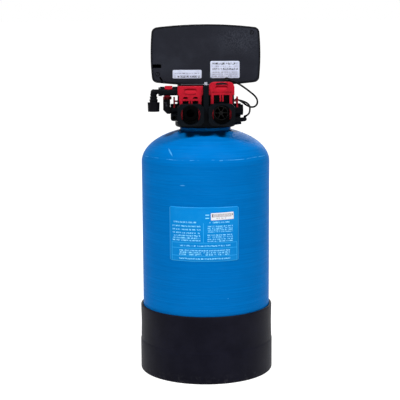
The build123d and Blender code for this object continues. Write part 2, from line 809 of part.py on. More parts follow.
def side_clip(side):
    """A U-shaped clip over a side socket, with a ring to pull it by and a short tab."""
    x0 = side * SIDE_CLIP_X - SIDE_CLIP_T / 2
    x1 = side * SIDE_CLIP_X + SIDE_CLIP_T / 2
    bridge_low = SIDE_Z + SOCKET_R + SLIP
    clip = block(
        x0,
        x1,
        SIDE_Y - SIDE_LEG_OFF - SIDE_LEG_W,
        SIDE_Y + SIDE_LEG_OFF + SIDE_LEG_W,
        bridge_low,
        bridge_low + SIDE_CLIP_T,
    )
    ring_z = SIDE_CLIP_TOP - SIDE_RING_R
    for hand, top in ((-1, ring_z), (1, bridge_low + SIDE_CLIP_T)):
        inside = SIDE_Y + hand * SIDE_LEG_OFF
        outside = SIDE_Y + hand * (SIDE_LEG_OFF + SIDE_LEG_W)
        clip = clip + block(x0, x1, inside, outside, SIDE_CLIP_LOW, top)
    ring_y = SIDE_Y - SIDE_LEG_OFF - SIDE_LEG_W / 2
    clip = clip + along_x(SIDE_RING_R, x0, x1, ring_y, ring_z)
    clip = clip - along_x(SIDE_RING_HOLE_R, x0 - OVERRUN, x1 + OVERRUN, ring_y, ring_z)
    tab_end = side * (TOWER_X + SLIP)
    tab_y = SIDE_Y - SIDE_LEG_OFF
    tab_low = SIDE_TAB_Z - SIDE_CLIP_T
    return clip + block(side * SIDE_CLIP_X, tab_end, tab_y - SIDE_CLIP_T, tab_y, tab_low, SIDE_TAB_Z)


def drain_clip():
    """The saddle clip that holds the drain elbow in its port."""
    x0 = DRAIN_CLIP_X - DRAIN_CLIP_L / 2
    x1 = DRAIN_CLIP_X + DRAIN_CLIP_L / 2
    saddle_low = DRAIN_Z + DRAIN_PORT_R + SLIP
    y0 = DRAIN_Y - DRAIN_PORT_R
    y1 = DRAIN_Y + DRAIN_PORT_R
    clip = rounded(block(x0, x1, y0, y1, DRAIN_CLIP_LOW, DRAIN_CLIP_TOP), Axis.X, DRAIN_CLIP_EDGE)
    clip = clip - along_x(DRAIN_PORT_R + SLIP, x0 - OVERRUN, x1 + OVERRUN, DRAIN_Y, DRAIN_Z)
    for hand in (-1, 1):
        inside = DRAIN_Y + hand * DRAIN_LEG_IN
        outside = DRAIN_Y + hand * DRAIN_LEG_OUT
        lx0 = DRAIN_CLIP_X - DRAIN_LEG_L / 2
        lx1 = DRAIN_CLIP_X + DRAIN_LEG_L / 2
        clip = clip + block(lx0, lx1, inside, outside, DRAIN_Z - DRAIN_LAND_L, saddle_low)
    return clip


# Drain line


def elbow_run(radius, inner_end, low):
    """The bore's run along the port's axis, round the bend and down the leg."""
    corner = (ELBOW_X, DRAIN_Y, DRAIN_Z)
    start = (inner_end, DRAIN_Y, DRAIN_Z)
    path = FilletPolyline(start, corner, (ELBOW_X, DRAIN_Y, low), radius=ELBOW_BEND)
    return sweep(Plane(origin=path @ 0, z_dir=path % 0) * Circle(radius), path=path)


def elbow_leg():
    """The elbow's upright half: a round knee, a ribbed cone and the end inside the nut."""
    knee_z = DRAIN_Z - KNEE_DROP
    slant = KNEE_R * math.sqrt(0.5)
    seat = NUT_TOP + SLIP
    step = (CONE_TOP - seat) / CONE_RIBS
    outline = [(KNEE_R, knee_z), (KNEE_R, CONE_TOP)]
    for n in range(CONE_RIBS):
        top = CONE_TOP - n * step
        wide = KNEE_R + (CONE_R - KNEE_R) * (n + 1) / CONE_RIBS
        outline += [(wide, top), (wide, top - step / 2)]
        outline += [(wide - CONE_RIB_H, top - step / 2), (wide - CONE_RIB_H, top - step)]
    outline += [(ELBOW_WIDE_R, seat), (ELBOW_WIDE_R, ELBOW_LOW), (0, ELBOW_LOW), (0, knee_z + KNEE_R)]
    dome = ThreePointArc((0, knee_z + KNEE_R), (slant, knee_z + slant), (KNEE_R, knee_z))
    face = make_face([dome, *Polyline(*outline).edges()])
    return Pos(ELBOW_X, DRAIN_Y, 0) * revolve(Plane.XZ * face, Axis.Z)


def snap_ring():
    """The ring welded on the spigot's nose after the O-ring is on, which the clip's legs hold."""
    end = DRAIN_PORT_END + SPIGOT_DEPTH
    ring = along_x(DRAIN_BORE_R - RUNNING, end - DRAIN_LAND_L, end, DRAIN_Y, DRAIN_Z)
    return ring - along_x(DRAIN_NECK_R + RUNNING, end - DRAIN_LAND_L - OVERRUN, end + OVERRUN, DRAIN_Y, DRAIN_Z)


def drain_elbow():
    """The elbow: a spigot with its ring in the port, a round knee and a ribbed cone to the nut."""
    inner_end = DRAIN_PORT_END + SPIGOT_DEPTH
    land_r = DRAIN_BORE_R - RUNNING
    outer_land = DRAIN_PORT_END + SPIGOT_DEPTH / 4
    collar_x = DRAIN_PORT_END - SLIP
    collar_r = DRAIN_FLANGE_R - SLIP
    elbow = elbow_leg() + along_x(ELBOW_R, collar_x, ELBOW_X, DRAIN_Y, DRAIN_Z)
    elbow = elbow + along_x(DRAIN_NECK_R, inner_end, collar_x - SLIP, DRAIN_Y, DRAIN_Z)
    elbow = elbow + along_x(land_r, collar_x, outer_land, DRAIN_Y, DRAIN_Z)
    elbow = elbow + along_x(collar_r, collar_x, collar_x - DRAIN_LAND_L, DRAIN_Y, DRAIN_Z)
    elbow = elbow - elbow_run(ELBOW_BORE_R, inner_end + OVERRUN, ELBOW_LOW - OVERRUN)
    return Compound(children=[elbow, snap_ring()])


def drain_nut():
    """The compression nut: fine ribs round a slightly tapered barrel, open below."""
    low = NUT_TOP - NUT_H
    barrel = Pos(ELBOW_X, DRAIN_Y, low) * Cone(
        NUT_R - NUT_TAPER, NUT_R, NUT_H, align=(Align.CENTER, Align.CENTER, Align.MIN)
    )
    groove = upright(NUT_GROOVE_R, low - OVERRUN, NUT_TOP - NUT_BAND, NUT_R, 0)
    grooves = [Rot(0, 0, n * 360 / NUT_GROOVES) * groove for n in range(NUT_GROOVES)]
    barrel = barrel - [Pos(ELBOW_X, DRAIN_Y, 0) * g for g in grooves]
    roof = NUT_TOP - NUT_ROOF_T
    barrel = barrel - upright(ELBOW_WIDE_R + SLIP, ELBOW_LOW - SLIP, NUT_TOP + OVERRUN, ELBOW_X, DRAIN_Y)
    return barrel - upright(TUBE_R, low - OVERRUN, roof, ELBOW_X, DRAIN_Y)


def flow_washer():
    """The drain flow washer behind the elbow's spigot."""
    start = DRAIN_PORT_END + SPIGOT_DEPTH + SLIP / 2
    end = start + WASHER_T - SLIP / 2
    disc = along_x(DRAIN_BORE_R - SLIP / 2, start, end, DRAIN_Y, DRAIN_Z)
    return disc - along_x(WASHER_BORE_R, start - OVERRUN, start + WASHER_T + OVERRUN, DRAIN_Y, DRAIN_Z)


def drain_o_ring():
    """The elbow's O-ring, round the spigot's neck behind its land."""
    centre = DRAIN_PORT_END + SPIGOT_DEPTH / 4 + DRAIN_LAND_L
    outer = DRAIN_BORE_R - BOND
    seal = along_x(outer, centre - SLIP * 2, centre + SLIP * 2, DRAIN_Y, DRAIN_Z)
    return seal - along_x(DRAIN_NECK_R + RUNNING, centre - OVERRUN, centre + OVERRUN, DRAIN_Y, DRAIN_Z)


# Injector and side cap


def grooved_tail(side, outer):
    """The round tail that enters a side socket, with the groove that the side clip holds."""
    x0 = side * (BLOCK_X + OVERRUN)
    tail = along_x(SOCKET_BORE_R - 2 * RUNNING, x0, side * outer, SIDE_Y, SIDE_Z)
    near = side * (SIDE_CLIP_X - SIDE_CLIP_T / 2 - SLIP)
    far = side * (SIDE_CLIP_X + SIDE_CLIP_T / 2 + SLIP)
    neck = along_x(SIDE_LEG_OFF - SLIP, near, far, SIDE_Y, SIDE_Z)
    return tail - along_x(SOCKET_BORE_R, near, far, SIDE_Y, SIDE_Z) + neck


def injector_housing():
    """The injector's housing: a chamfered block with a spigot into the left socket."""
    housing = block(
        -INJECTOR_OUT, -INJECTOR_IN, INJECTOR_BACK, INJECTOR_FRONT, INJECTOR_LOW, INJECTOR_TOP
    )
    lower = housing.edges().filter_by(Axis.Y).sort_by(Axis.Z)[:2].sort_by(Axis.X)[0]
    housing = chamfer(lower, INJECTOR_CHAMFER)
    housing = housing + grooved_tail(-1, INJECTOR_IN + OVERRUN)
    housing = housing - upright(WELL_R, NOZZLE_LOW, INJECTOR_TOP + OVERRUN, -PLUG_X, SIDE_Y)
    housing = housing - upright(PIT_R, SIDE_Z - PIT_R, NOZZLE_LOW + OVERRUN, -PLUG_X, SIDE_Y)
    return housing - along_x(INJECTOR_BORE_R, -PLUG_X, -BLOCK_X + OVERRUN, SIDE_Y, SIDE_Z)


def injector_plug():
    """The red plug over the injector, with a grip bar across its head."""
    head_low = INJECTOR_TOP + SLIP / 3
    plug = upright(PLUG_R, head_low, PLUG_TOP - OVERRUN, -PLUG_X, SIDE_Y)
    plug = plug + upright(WELL_R - SLIP, NOZZLE_LOW + NOZZLE_H + SLIP, head_low + SLIP, -PLUG_X, SIDE_Y)
    bar = PLUG_R * 3 / 4
    return plug + block(
        -PLUG_X - bar, -PLUG_X + bar, SIDE_Y - OVERRUN, SIDE_Y + OVERRUN, PLUG_TOP - OVERRUN, PLUG_TOP
    )


def injector_nozzle():
    """The small nozzle that draws brine, in the housing below the plug."""
    low = NOZZLE_LOW + BOND
    high = NOZZLE_LOW + NOZZLE_H
    nozzle = upright(WELL_R - SLIP, low, high, -PLUG_X, SIDE_Y)
    return nozzle - upright(NOZZLE_BORE_R, low - OVERRUN, high + OVERRUN, -PLUG_X, SIDE_Y)


def injector_screws():
    """The two screws low on the injector housing's face."""
    screws = []
    for x, z in (UPPER_SCREW_AT, LOWER_SCREW_AT):
        front = INJECTOR_BACK - INJECTOR_SCREW_T
        screws.append(along_y(INJECTOR_SCREW_R, front, INJECTOR_BACK - RUNNING / 2, x, z))
    return screws


def side_cap():
    """The plug that closes the right socket, held by the right side clip."""
    outer = SOCKET_END + SLIP
    disc = along_x(CAP_R, outer, outer + CAP_T, SIDE_Y, SIDE_Z)
    disc = fillet(disc.edges().sort_by(Axis.X)[-1], CAP_EDGE)
    return disc + grooved_tail(1, outer + SLIP)


# Flow meter


def turbine_cage():
    """The straightener: a ring with three spokes and the turbine's axle."""
    inner = CHAMBER_END - BOND
    outer = PORT_BORE_END + BOND
    wall = along_y(CHAMBER_R - SLIP / 2, outer, inner, PORT_X, PORT_Z)
    wall = wall - along_y(BLADE_R + SLIP * 2, outer - OVERRUN, inner + OVERRUN, PORT_X, PORT_Z)
    spoke_end = inner - CAGE_T / 3
    spoke = block(0, BLADE_R + SLIP * 3, -BLADE_T / 2, BLADE_T / 2, 0, CAGE_T / 3)
    spokes = [Rot(0, 0, n * 360 / 3) * spoke for n in range(3)]
    placed = [Pos(PORT_X, spoke_end, PORT_Z) * Rot(-90, 0, 0) * s for s in spokes]
    hub = along_y(HUB_R, spoke_end, inner, PORT_X, PORT_Z)
    axle = along_y(AXLE_R, outer + CAGE_T / 3, inner, PORT_X, PORT_Z)
    return wall + placed + hub + axle


def turbine():
    """The rotor that counts the water: twisted blades round a hub on the cage's axle."""
    back = CHAMBER_END - BOND - CAGE_T / 3 - SLIP
    front = back - ROTOR_L
    blade = Rectangle(BLADE_R - HUB_R / 2, BLADE_T)
    lofted = loft([
        Pos((BLADE_R + HUB_R / 2) / 2, 0, 0) * blade,
        Pos(0, 0, ROTOR_L) * Rot(0, 0, BLADE_TWIST) * Pos((BLADE_R + HUB_R / 2) / 2, 0, 0) * blade,
    ])
    rotor = Pos(0, 0, ROTOR_L / 2) * Cylinder(HUB_R, ROTOR_L)
    rotor = rotor + [Rot(0, 0, n * 360 / BLADES) * lofted for n in range(BLADES)]
    rotor = rotor - Pos(0, 0, ROTOR_L / 2) * Cylinder(AXLE_R + RUNNING, ROTOR_L + 2 * OVERRUN)
    return Pos(PORT_X, front, PORT_Z) * Rot(-90, 0, 0) * rotor


def sensor_plug():
    """The sensor plug: a barrel in the flank, a rounded end and the lead's sleeve on top."""
    depth = SENSOR_END - BLOCK_X + SENSOR_DEPTH - SLIP
    barrel = sensor_axis() * Pos(0, 0, -depth / 2) * Cylinder(SENSOR_R, depth)
    cap = sensor_axis() * Sphere(SENSOR_R)
    end = Vector(*LEAD_ROUTE[-1])
    before = Vector(*LEAD_ROUTE[-2])
    direction = (before - end).normalized()
    sleeve_plane = Plane(origin=end, z_dir=direction)
    sleeve = sleeve_plane * Pos(0, 0, -LEAD_R) * Cylinder(LEAD_R + SLIP * 2, 2 * LEAD_R)
    return barrel + cap + sleeve


def lead_radii():
    """Each bend's radius: a share of its shorter run over the tangent of half the turn."""
    points = [Vector(*p) for p in LEAD_ROUTE]
    radii = []
    for a, b, c in zip(points, points[1:], points[2:]):
        turn = (b - a).get_angle(c - b)
        shorter = min((b - a).length, (c - b).length)
        radii.append(BEND_SHARE * shorter / math.tan(math.radians(turn) / 2))
    return radii


def lead_path():
    """The lead's route as straight runs joined by tangent arcs."""
    return FilletPolyline(*LEAD_ROUTE, radius=lead_radii())


def sensor_lead():
    """The lead from the head to the sensor plug, one free loop and a return."""
    path = lead_path()
    start = Plane(origin=path @ 0, z_dir=path % 0)
    return sweep(start * Circle(LEAD_R), path=path)


def lead_clip():
    """A small hook on the tower's side that holds the lead where it turns back."""
    _, held, _ = lead_path().distance_to_with_closest_points(Vector(*LEAD_HELD_AT))
    y, z = held.Y, held.Z
    width = 2 * LEAD_R
    hook_x = held.X
    hook = along_y(width, y - width / 2, y + width / 2, hook_x, z)
    stem = block(TOWER_X + BOND, hook_x, y - width / 2, y + width / 2, z - LEAD_R / 2, z + LEAD_R / 2)
    hook = hook + stem - along_y(LEAD_R + SLIP, y - width, y + width, hook_x, z)
    return hook - block(hook_x, hook_x + width * 2, y - width, y + width, z - LEAD_R, z + width * 2)


def lead_grommet():
    """The grommet in the rear cover, with the slanted stem that the lead leaves by."""
    x, z = GROMMET_AT
    bush = along_y(GROMMET_R - BOND, HEAD_BACK - OVERRUN, HEAD_BACK + PANEL_T + OVERRUN, x, z)
    bush = bush + along_y(GROMMET_R + LEAD_R, HEAD_BACK - LEAD_R, HEAD_BACK - BOND, x, z)
    end = Vector(*LEAD_ROUTE[0])
    direction = (Vector(*LEAD_ROUTE[1]) - end).normalized()
    stem = Plane(origin=end, z_dir=direction) * Pos(0, 0, -STEM_L / 2) * Cylinder(STEM_R, STEM_L)
    return bush + stem


# Seals, piston and spacers


def seal_low(n):
    """The height of the bottom of one seal in the stack."""
    return BORE_LOW + BOND + n * (SEAL_T + SPACER_H)


def piston_seals():
    """The seals between the spacers, one node."""
    lows = [seal_low(n) for n in range(SEALS)]
    return [ring(BORE_R - BOND, PISTON_R + RUNNING * 2, low, low + SEAL_T) for low in lows]


def seal_spacers():
    """The windowed spacers that hold the seals apart."""
    spacers = []
    reach = BORE_R + OVERRUN
    for n in range(SEALS - 1):
        low = seal_low(n) + SEAL_T
        spacer = ring(BORE_R - BOND, SPACER_BORE_R, low, low + SPACER_H)
        window = block(
            0,
            reach,
            -SPACER_WINDOW_W / 2,
            SPACER_WINDOW_W / 2,
            low + SPACER_H / 4,
            low + SPACER_H * 3 / 4,
        )
        windows = [Rot(0, 0, k * 360 / SPACER_WINDOWS) * window for k in range(SPACER_WINDOWS)]
        spacers.append(spacer - windows)
    return spacers


def piston_cap():
    """The retainer that closes the bore and guides the rod."""
    low = seal_low(SEALS - 1) + SEAL_T
    cap = upright(BORE_R - BOND, low, FLANGE_TOP - BOND)
    cap = cap - upright(SPACER_BORE_R, low - OVERRUN, low + SPACER_H)
    return cap - upright(ROD_R + RUNNING, low, FLANGE_TOP + OVERRUN)


def piston():
    """The piston: two waists between three lands."""
    land = PISTON_L / 5
    outline = [(0, PISTON_LOW)]
    for n in range(5):
        radius = PISTON_R if n % 2 == 0 else PISTON_WAIST_R
        outline += [(radius, PISTON_LOW + n * land), (radius, PISTON_LOW + (n + 1) * land)]
    outline.append((0, PISTON_LOW + PISTON_L))
    return turned(outline)


def piston_rod():
    """The rod from the piston up through the drive gear's hub."""
    return upright(ROD_R, PISTON_LOW + PISTON_L, ROD_TOP)


def tank_o_ring():
    """The ring that seals the collar on the vessel's neck."""
    return ring(SPIGOT_R + GASKET_W - BOND, SPIGOT_R + BOND, NECK_TOP + BOND, NECK_TOP + GASKET_T)


def riser_o_ring():
    """The ring round the riser in the body's seat."""
    z = NECK_TOP + COLLAR_T / 2
    return ring(RISER_R + SLIP - BOND / 2, RISER_R + BOND / 2, z, z + SEAL_T)


# Drive


def idler_x():
    """The reduction gear's axis, one centre distance left of the drive gear."""
    return -(DRIVE_TEETH + SMALL_TEETH) * MODULE / 2


def motor_x():
    """The motor's axis, one centre distance further left."""
    return idler_x() - (LARGE_TEETH + SMALL_TEETH) * MODULE / 2


def gear(teeth, low, thickness, phase=0):
    """A spur gear with involute flanks; phase turns it, in teeth."""
    pitch_r = teeth * MODULE / 2
    base_r = pitch_r * math.cos(math.radians(PRESSURE_DEG))
    tip_r = pitch_r + MODULE
    root_r = pitch_r - ROOT_SHARE * MODULE
    half_pitch = math.pi / (2 * teeth) - BACKLASH / (4 * pitch_r)

    def involute(r):
        t = math.sqrt(max((r / base_r) ** 2 - 1, 0))
        return t - math.atan(t)

    at_pitch = involute(pitch_r)
    start_r = max(base_r, root_r)
    steps = 4
    flank = []
    for n in range(steps):
        r = start_r + (tip_r - start_r) * n / (steps - 1)
        flank.append((r, half_pitch + at_pitch - involute(r)))
    if base_r > root_r:
        flank.insert(0, (root_r, flank[0][1]))
    points = []
    for n in range(teeth):
        middle = 2 * math.pi * (n + phase) / teeth
        for r, a in flank:
            points.append((r * math.cos(middle - a), r * math.sin(middle - a)))
        for r, a in reversed(flank):
            points.append((r * math.cos(middle + a), r * math.sin(middle + a)))
    outline = make_face(Polyline(*points, close=True))
    return Pos(0, 0, low) * extrude(outline, thickness)


def drive_gear():
    """The gear whose hub lifts the piston rod, with six lightening holes."""
    wheel = gear(DRIVE_TEETH, DRIVE_LOW, DRIVE_T)
    hub_low = BRACKET_LOW + BRACKET_T + SLIP / 2
    wheel = wheel + upright(DRIVE_HUB_R, hub_low, IDLER_LARGE_LOW + IDLER_T)
    hole_at = (DRIVE_HUB_R + DRIVE_TEETH * MODULE / 2) / 2
    hole = upright(GEAR_HOLE_R, DRIVE_LOW - OVERRUN, DRIVE_LOW + DRIVE_T + OVERRUN, hole_at)
    wheel = wheel - [Rot(0, 0, n * 360 / GEAR_HOLES) * hole for n in range(GEAR_HOLES)]
    return wheel - upright(ROD_R + RUNNING, hub_low - OVERRUN, IDLER_LARGE_LOW + IDLER_T + OVERRUN)


def reduction_gear():
    """The double gear between the motor and the drive gear."""
    small_low = DRIVE_LOW - BOND * 5
    small = gear(SMALL_TEETH, small_low, IDLER_LARGE_LOW - small_low, 0.5)
    large = gear(LARGE_TEETH, IDLER_LARGE_LOW, IDLER_T, 0)
    both = Pos(idler_x(), 0, 0) * (small + large)
    high = IDLER_LARGE_LOW + IDLER_T
    return both - upright(GEAR_PIN_R + RUNNING, small_low - OVERRUN, high + OVERRUN, idler_x())


def motor_pinion():
    """The motor's pinion, pressed on its shaft."""
    low = IDLER_LARGE_LOW - (PINION_T - IDLER_T) / 2
    teeth = Pos(motor_x(), 0, 0) * gear(SMALL_TEETH, low, PINION_T, 0.5)
    return teeth + upright(SHAFT_R, low + PINION_T, MOTOR_PLATE_LOW + BRACKET_T + SLIP, motor_x())


def drive_bracket():
    """The lower plate on the valve's flange, with the reduction gear's pin and four posts."""
    plate = block(BRACKET_X0, BRACKET_X1, FLANGE_BACK, BRACKET_Y, BRACKET_LOW, BRACKET_LOW + BRACKET_T)
    plate = rounded(plate, Axis.Z, MOTOR_EAR_R)
    plate = plate - upright(ROD_R + OVERRUN, BRACKET_LOW - OVERRUN, BRACKET_LOW + 2 * BRACKET_T)
    plate = plate + upright(GEAR_PIN_R, BRACKET_LOW + BRACKET_T / 2, MOTOR_PLATE_LOW - SLIP, idler_x())
    shoulder_top = DRIVE_LOW - BOND * 6
    plate = plate + upright(GEAR_PIN_R * 2, BRACKET_LOW + BRACKET_T / 2, shoulder_top, idler_x())
    for x, y in post_places():
        plate = plate + upright(MOTOR_EAR_R, BRACKET_LOW + BRACKET_T / 2, MOTOR_PLATE_LOW, x, y)
    return plate


def post_places():
    """The four posts between the bracket and the motor plate, clear of the gears."""
    x0 = BRACKET_X0 + MOTOR_EAR_R
    x1 = BRACKET_X1 - MOTOR_EAR_R
    y0 = FLANGE_BACK + MOTOR_EAR_R
    y1 = BRACKET_Y - MOTOR_EAR_R
    return [(x0, y0), (x0, y1), (x1, y0), (x1, y1)]


def motor_plate():
    """The upper plate that carries the motor, on the bracket's posts."""
    high = MOTOR_PLATE_LOW + BRACKET_T
    plate = block(BRACKET_X0, BRACKET_X1, FLANGE_BACK, BRACKET_Y, MOTOR_PLATE_LOW, high)
    plate = rounded(plate, Axis.Z, MOTOR_EAR_R)
    plate = plate - upright(ROD_R + SLIP, MOTOR_PLATE_LOW - OVERRUN, high + OVERRUN)
    return plate - upright(SHAFT_R + SLIP, MOTOR_PLATE_LOW - OVERRUN, high + OVERRUN, motor_x())


def motor():
    """The gear motor on the motor plate."""
    low = MOTOR_PLATE_LOW + BRACKET_T
    can = upright(MOTOR_R, low + SLIP, low + MOTOR_H, motor_x())
    can = fillet(can.edges().group_by(Axis.Z)[-1], MOTOR_EDGE)
    x0 = motor_x() - MOTOR_R
    x1 = motor_x() + MOTOR_R + 2 * MOTOR_EAR_R
    flange = block(x0, x1, -MOTOR_EAR_R, MOTOR_EAR_R, low, low + BRACKET_T)
    can = can + rounded(flange, Axis.Z, MOTOR_EAR_R - BOND)
    return can - upright(SHAFT_R + RUNNING, low - OVERRUN, low + 2 * BRACKET_T, motor_x())


def bracket_screws():
    """Four screws down through the motor plate into the posts' tops."""
    high = MOTOR_PLATE_LOW + BRACKET_T
    return [upright(SCREW_HEAD_R, high, high + SCREW_R, x, y) for x, y in post_places()]


# Control head


def head_outline(inset):
    """The head's pillow outline, seen from behind, drawn in by an inset."""
    half = HEAD_X - HEAD_BOW - inset
    side = HEAD_X - inset
    low = HEAD_LOW + HEAD_END_BOW + inset
    high = HEAD_TOP - HEAD_END_BOW - inset
    middle = (HEAD_LOW + HEAD_TOP) / 2
    edges = [
        ThreePointArc((-half, high), (0, HEAD_TOP - inset), (half, high)),
        ThreePointArc((half, high), (side, middle), (half, low)),
        ThreePointArc((half, low), (0, HEAD_LOW + inset), (-half, low)),
        ThreePointArc((-half, low), (-side, middle), (-half, high)),
    ]
    face = make_face(edges)
    return fillet(face.vertices(), HEAD_CORNER - inset)


def slab(face, back, front):
    """The outline pushed out between two depths."""
    return Pos(0, front, 0) * extrude(Plane.XZ * face, front - back)


def front_cover():
    """The deep front shell: open behind, with the display's window and button holes."""
    shell = slab(head_outline(0), HEAD_BACK, HEAD_FRONT)
    nose = shell.faces().sort_by(Axis.Y)[-1].edges()
    shell = fillet(nose, HEAD_NOSE)
    hollow = slab(head_outline(HEAD_WALL), HEAD_BACK - OVERRUN, HEAD_FRONT - HEAD_WALL)
    inner_nose = hollow.faces().sort_by(Axis.Y)[-1].edges()
    hollow = fillet(inner_nose, HEAD_NOSE - HEAD_WALL)
    shell = shell - hollow
    seat = head_outline(PANEL_INSET - SLIP)
    shell = shell - slab(seat, HEAD_BACK - OVERRUN, HEAD_BACK + PANEL_T + SLIP)
    half = FLANGE_X + OVERRUN
    back = HEAD_BACK + 2 * PANEL_T
    shell = shell - block(-half, half, back, TOWER_FRONT, HEAD_LOW - OVERRUN, FLANGE_TOP)
    window = block(
        -WINDOW_W / 2,
        WINDOW_W / 2,
        HEAD_FRONT - HEAD_WALL - OVERRUN,
        HEAD_FRONT + OVERRUN,
        WINDOW_Z - WINDOW_H / 2,
        WINDOW_Z + WINDOW_H / 2,
    )
    shell = shell - rounded(window, Axis.Y, WINDOW_CORNER)
    back = HEAD_FRONT - HEAD_WALL - OVERRUN
    for x in button_places():
        shell = shell - along_y(BUTTON_R + SLIP, back, HEAD_FRONT + OVERRUN, x, BUTTON_Z)
    for x, z in board_posts():
        shell = shell + along_y(POST_R, BOARD_Y + BOARD_T, HEAD_FRONT - HEAD_WALL / 2, x, z)
    for x, z in (RIGHT_SCREW_AT, LEFT_SCREW_AT):
        post = along_y(POST_R, HEAD_BACK + PANEL_T + SLIP, HEAD_FRONT - HEAD_WALL / 2, x, z)
        bore = along_y(SCREW_R + BOND, HEAD_BACK, HEAD_BACK + PANEL_T + COVER_SCREW_L, x, z)
        shell = shell + post - bore
    return shell


def rear_cover():
    """The rear panel, set into the front shell, with screw recesses, a slot and a notch."""
    panel = slab(head_outline(PANEL_INSET), HEAD_BACK, HEAD_BACK + PANEL_T)
    panel = chamfer(panel.faces().sort_by(Axis.Y)[0].edges(), PANEL_EDGE)
    for x, z in (RIGHT_SCREW_AT, LEFT_SCREW_AT):
        panel = panel - along_y(RECESS_R, HEAD_BACK - OVERRUN, HEAD_BACK + RECESS_DEPTH, x, z)
        panel = panel - along_y(SCREW_R + BOND, HEAD_BACK, HEAD_BACK + PANEL_T + OVERRUN, x, z)
    slot = block(
        -HEAD_X - OVERRUN,
        -HEAD_X + SLOT_W,
        HEAD_BACK - OVERRUN,
        HEAD_BACK + PANEL_T + OVERRUN,
        SLOT_Z - SLOT_H / 2,
        SLOT_Z + SLOT_H / 2,
    )
    x, z = LEFT_SCREW_AT
    place = Pos(x + 2 * RECESS_R, HEAD_BACK, z - 3 * RECESS_R) * Rot(0, -NOTCH_TURN, 0)
    notch = place * Box(NOTCH_W, 4 * PANEL_T, NOTCH_L)
    x, z = GROMMET_AT
    hole = along_y(GROMMET_R, HEAD_BACK - OVERRUN, HEAD_BACK + PANEL_T + OVERRUN, x, z)
    return panel - slot - notch - hole


def cover_screws():
    """The two screws that hold the rear cover."""
    screws = []
    for x, z in (RIGHT_SCREW_AT, LEFT_SCREW_AT):
        seat = HEAD_BACK + RECESS_DEPTH
        screw = along_y(SCREW_HEAD_R, seat - SCREW_R, seat, x, z)
        screws.append(screw + along_y(SCREW_R, seat - BOND, HEAD_BACK + COVER_SCREW_L, x, z))
    return screws


def button_places():
    """The four buttons' centres across the front."""
    return [(n - 1.5) * BUTTON_PITCH for n in range(4)]


def board_posts():
    """The four posts that carry the circuit board."""
    x = BOARD_W / 2 - POST_R
    low = BOARD_LOW + POST_R
    high = BOARD_TOP - POST_R
    return [(-x, low), (x, low), (-x, high), (x, high)]


def button(x):
    """A push button, flanged behind the front cover."""
    inner = HEAD_FRONT - HEAD_WALL - SLIP
    cap = along_y(BUTTON_R, inner - BUTTON_FLANGE, HEAD_FRONT + BUTTON_TRAVEL, x, BUTTON_Z)
    cap = fillet(cap.faces().sort_by(Axis.Y)[-1].edges(), PANEL_EDGE / 2)
    return cap + along_y(BUTTON_R + BUTTON_FLANGE, inner - BUTTON_FLANGE, inner, x, BUTTON_Z)


def circuit_board():
    """The board behind the front, with a switch under each button."""
    board = block(-BOARD_W / 2, BOARD_W / 2, BOARD_Y, BOARD_Y + BOARD_T, BOARD_LOW, BOARD_TOP)
    for x in button_places():
        base = BOARD_Y + BOARD_T
        board = board + block(
            x - BUTTON_R / 2,
            x + BUTTON_R / 2,
            base - BOND,
            base + SWITCH_T,
            BUTTON_Z - BUTTON_R / 2,
            BUTTON_Z + BUTTON_R / 2,
        )
    return board


def display_module():
    """The display on the board, just behind its window."""
    base = BOARD_Y + BOARD_T
    face = HEAD_FRONT - WINDOW_T - 3 * SLIP
    half_w = WINDOW_W / 2 - WINDOW_CORNER
    half_h = WINDOW_H / 2 - WINDOW_CORNER
    return block(-half_w, half_w, base, face, WINDOW_Z - half_h, WINDOW_Z + half_h)


def display_window():
    """The clear window, flush in the front cover's opening."""
    half_w = WINDOW_W / 2 - SLIP
    half_h = WINDOW_H / 2 - SLIP
    pane = block(
        -half_w, half_w, HEAD_FRONT - WINDOW_T, HEAD_FRONT - BOND, WINDOW_Z - half_h, WINDOW_Z + half_h
    )
    return rounded(pane, Axis.Y, WINDOW_CORNER - SLIP)


def cable_tie():
    """The white cable tie round the body's rim, with its square head at the middle."""
    x = RIM_X + SLIP
    y0 = TOWER_BACK - SLIP
    y1 = TOWER_BACK + RIM_T + SLIP
    outer = block(-x - TIE_T, x + TIE_T, y0 - TIE_T, y1 + TIE_T, TIE_Z, TIE_Z + TIE_H)
    outer = rounded(outer, Axis.Z, 2 * TIE_T)
    inner = block(-x, x, y0, y1, TIE_Z - OVERRUN, TIE_Z + TIE_H + OVERRUN)
    half = TIE_HEAD / 2
    low = TIE_Z - TIE_H / 2
    knot = block(-half, half, y0 - half, y0 - TIE_T / 2, low, low + TIE_HEAD)
    return outer - inner + knot


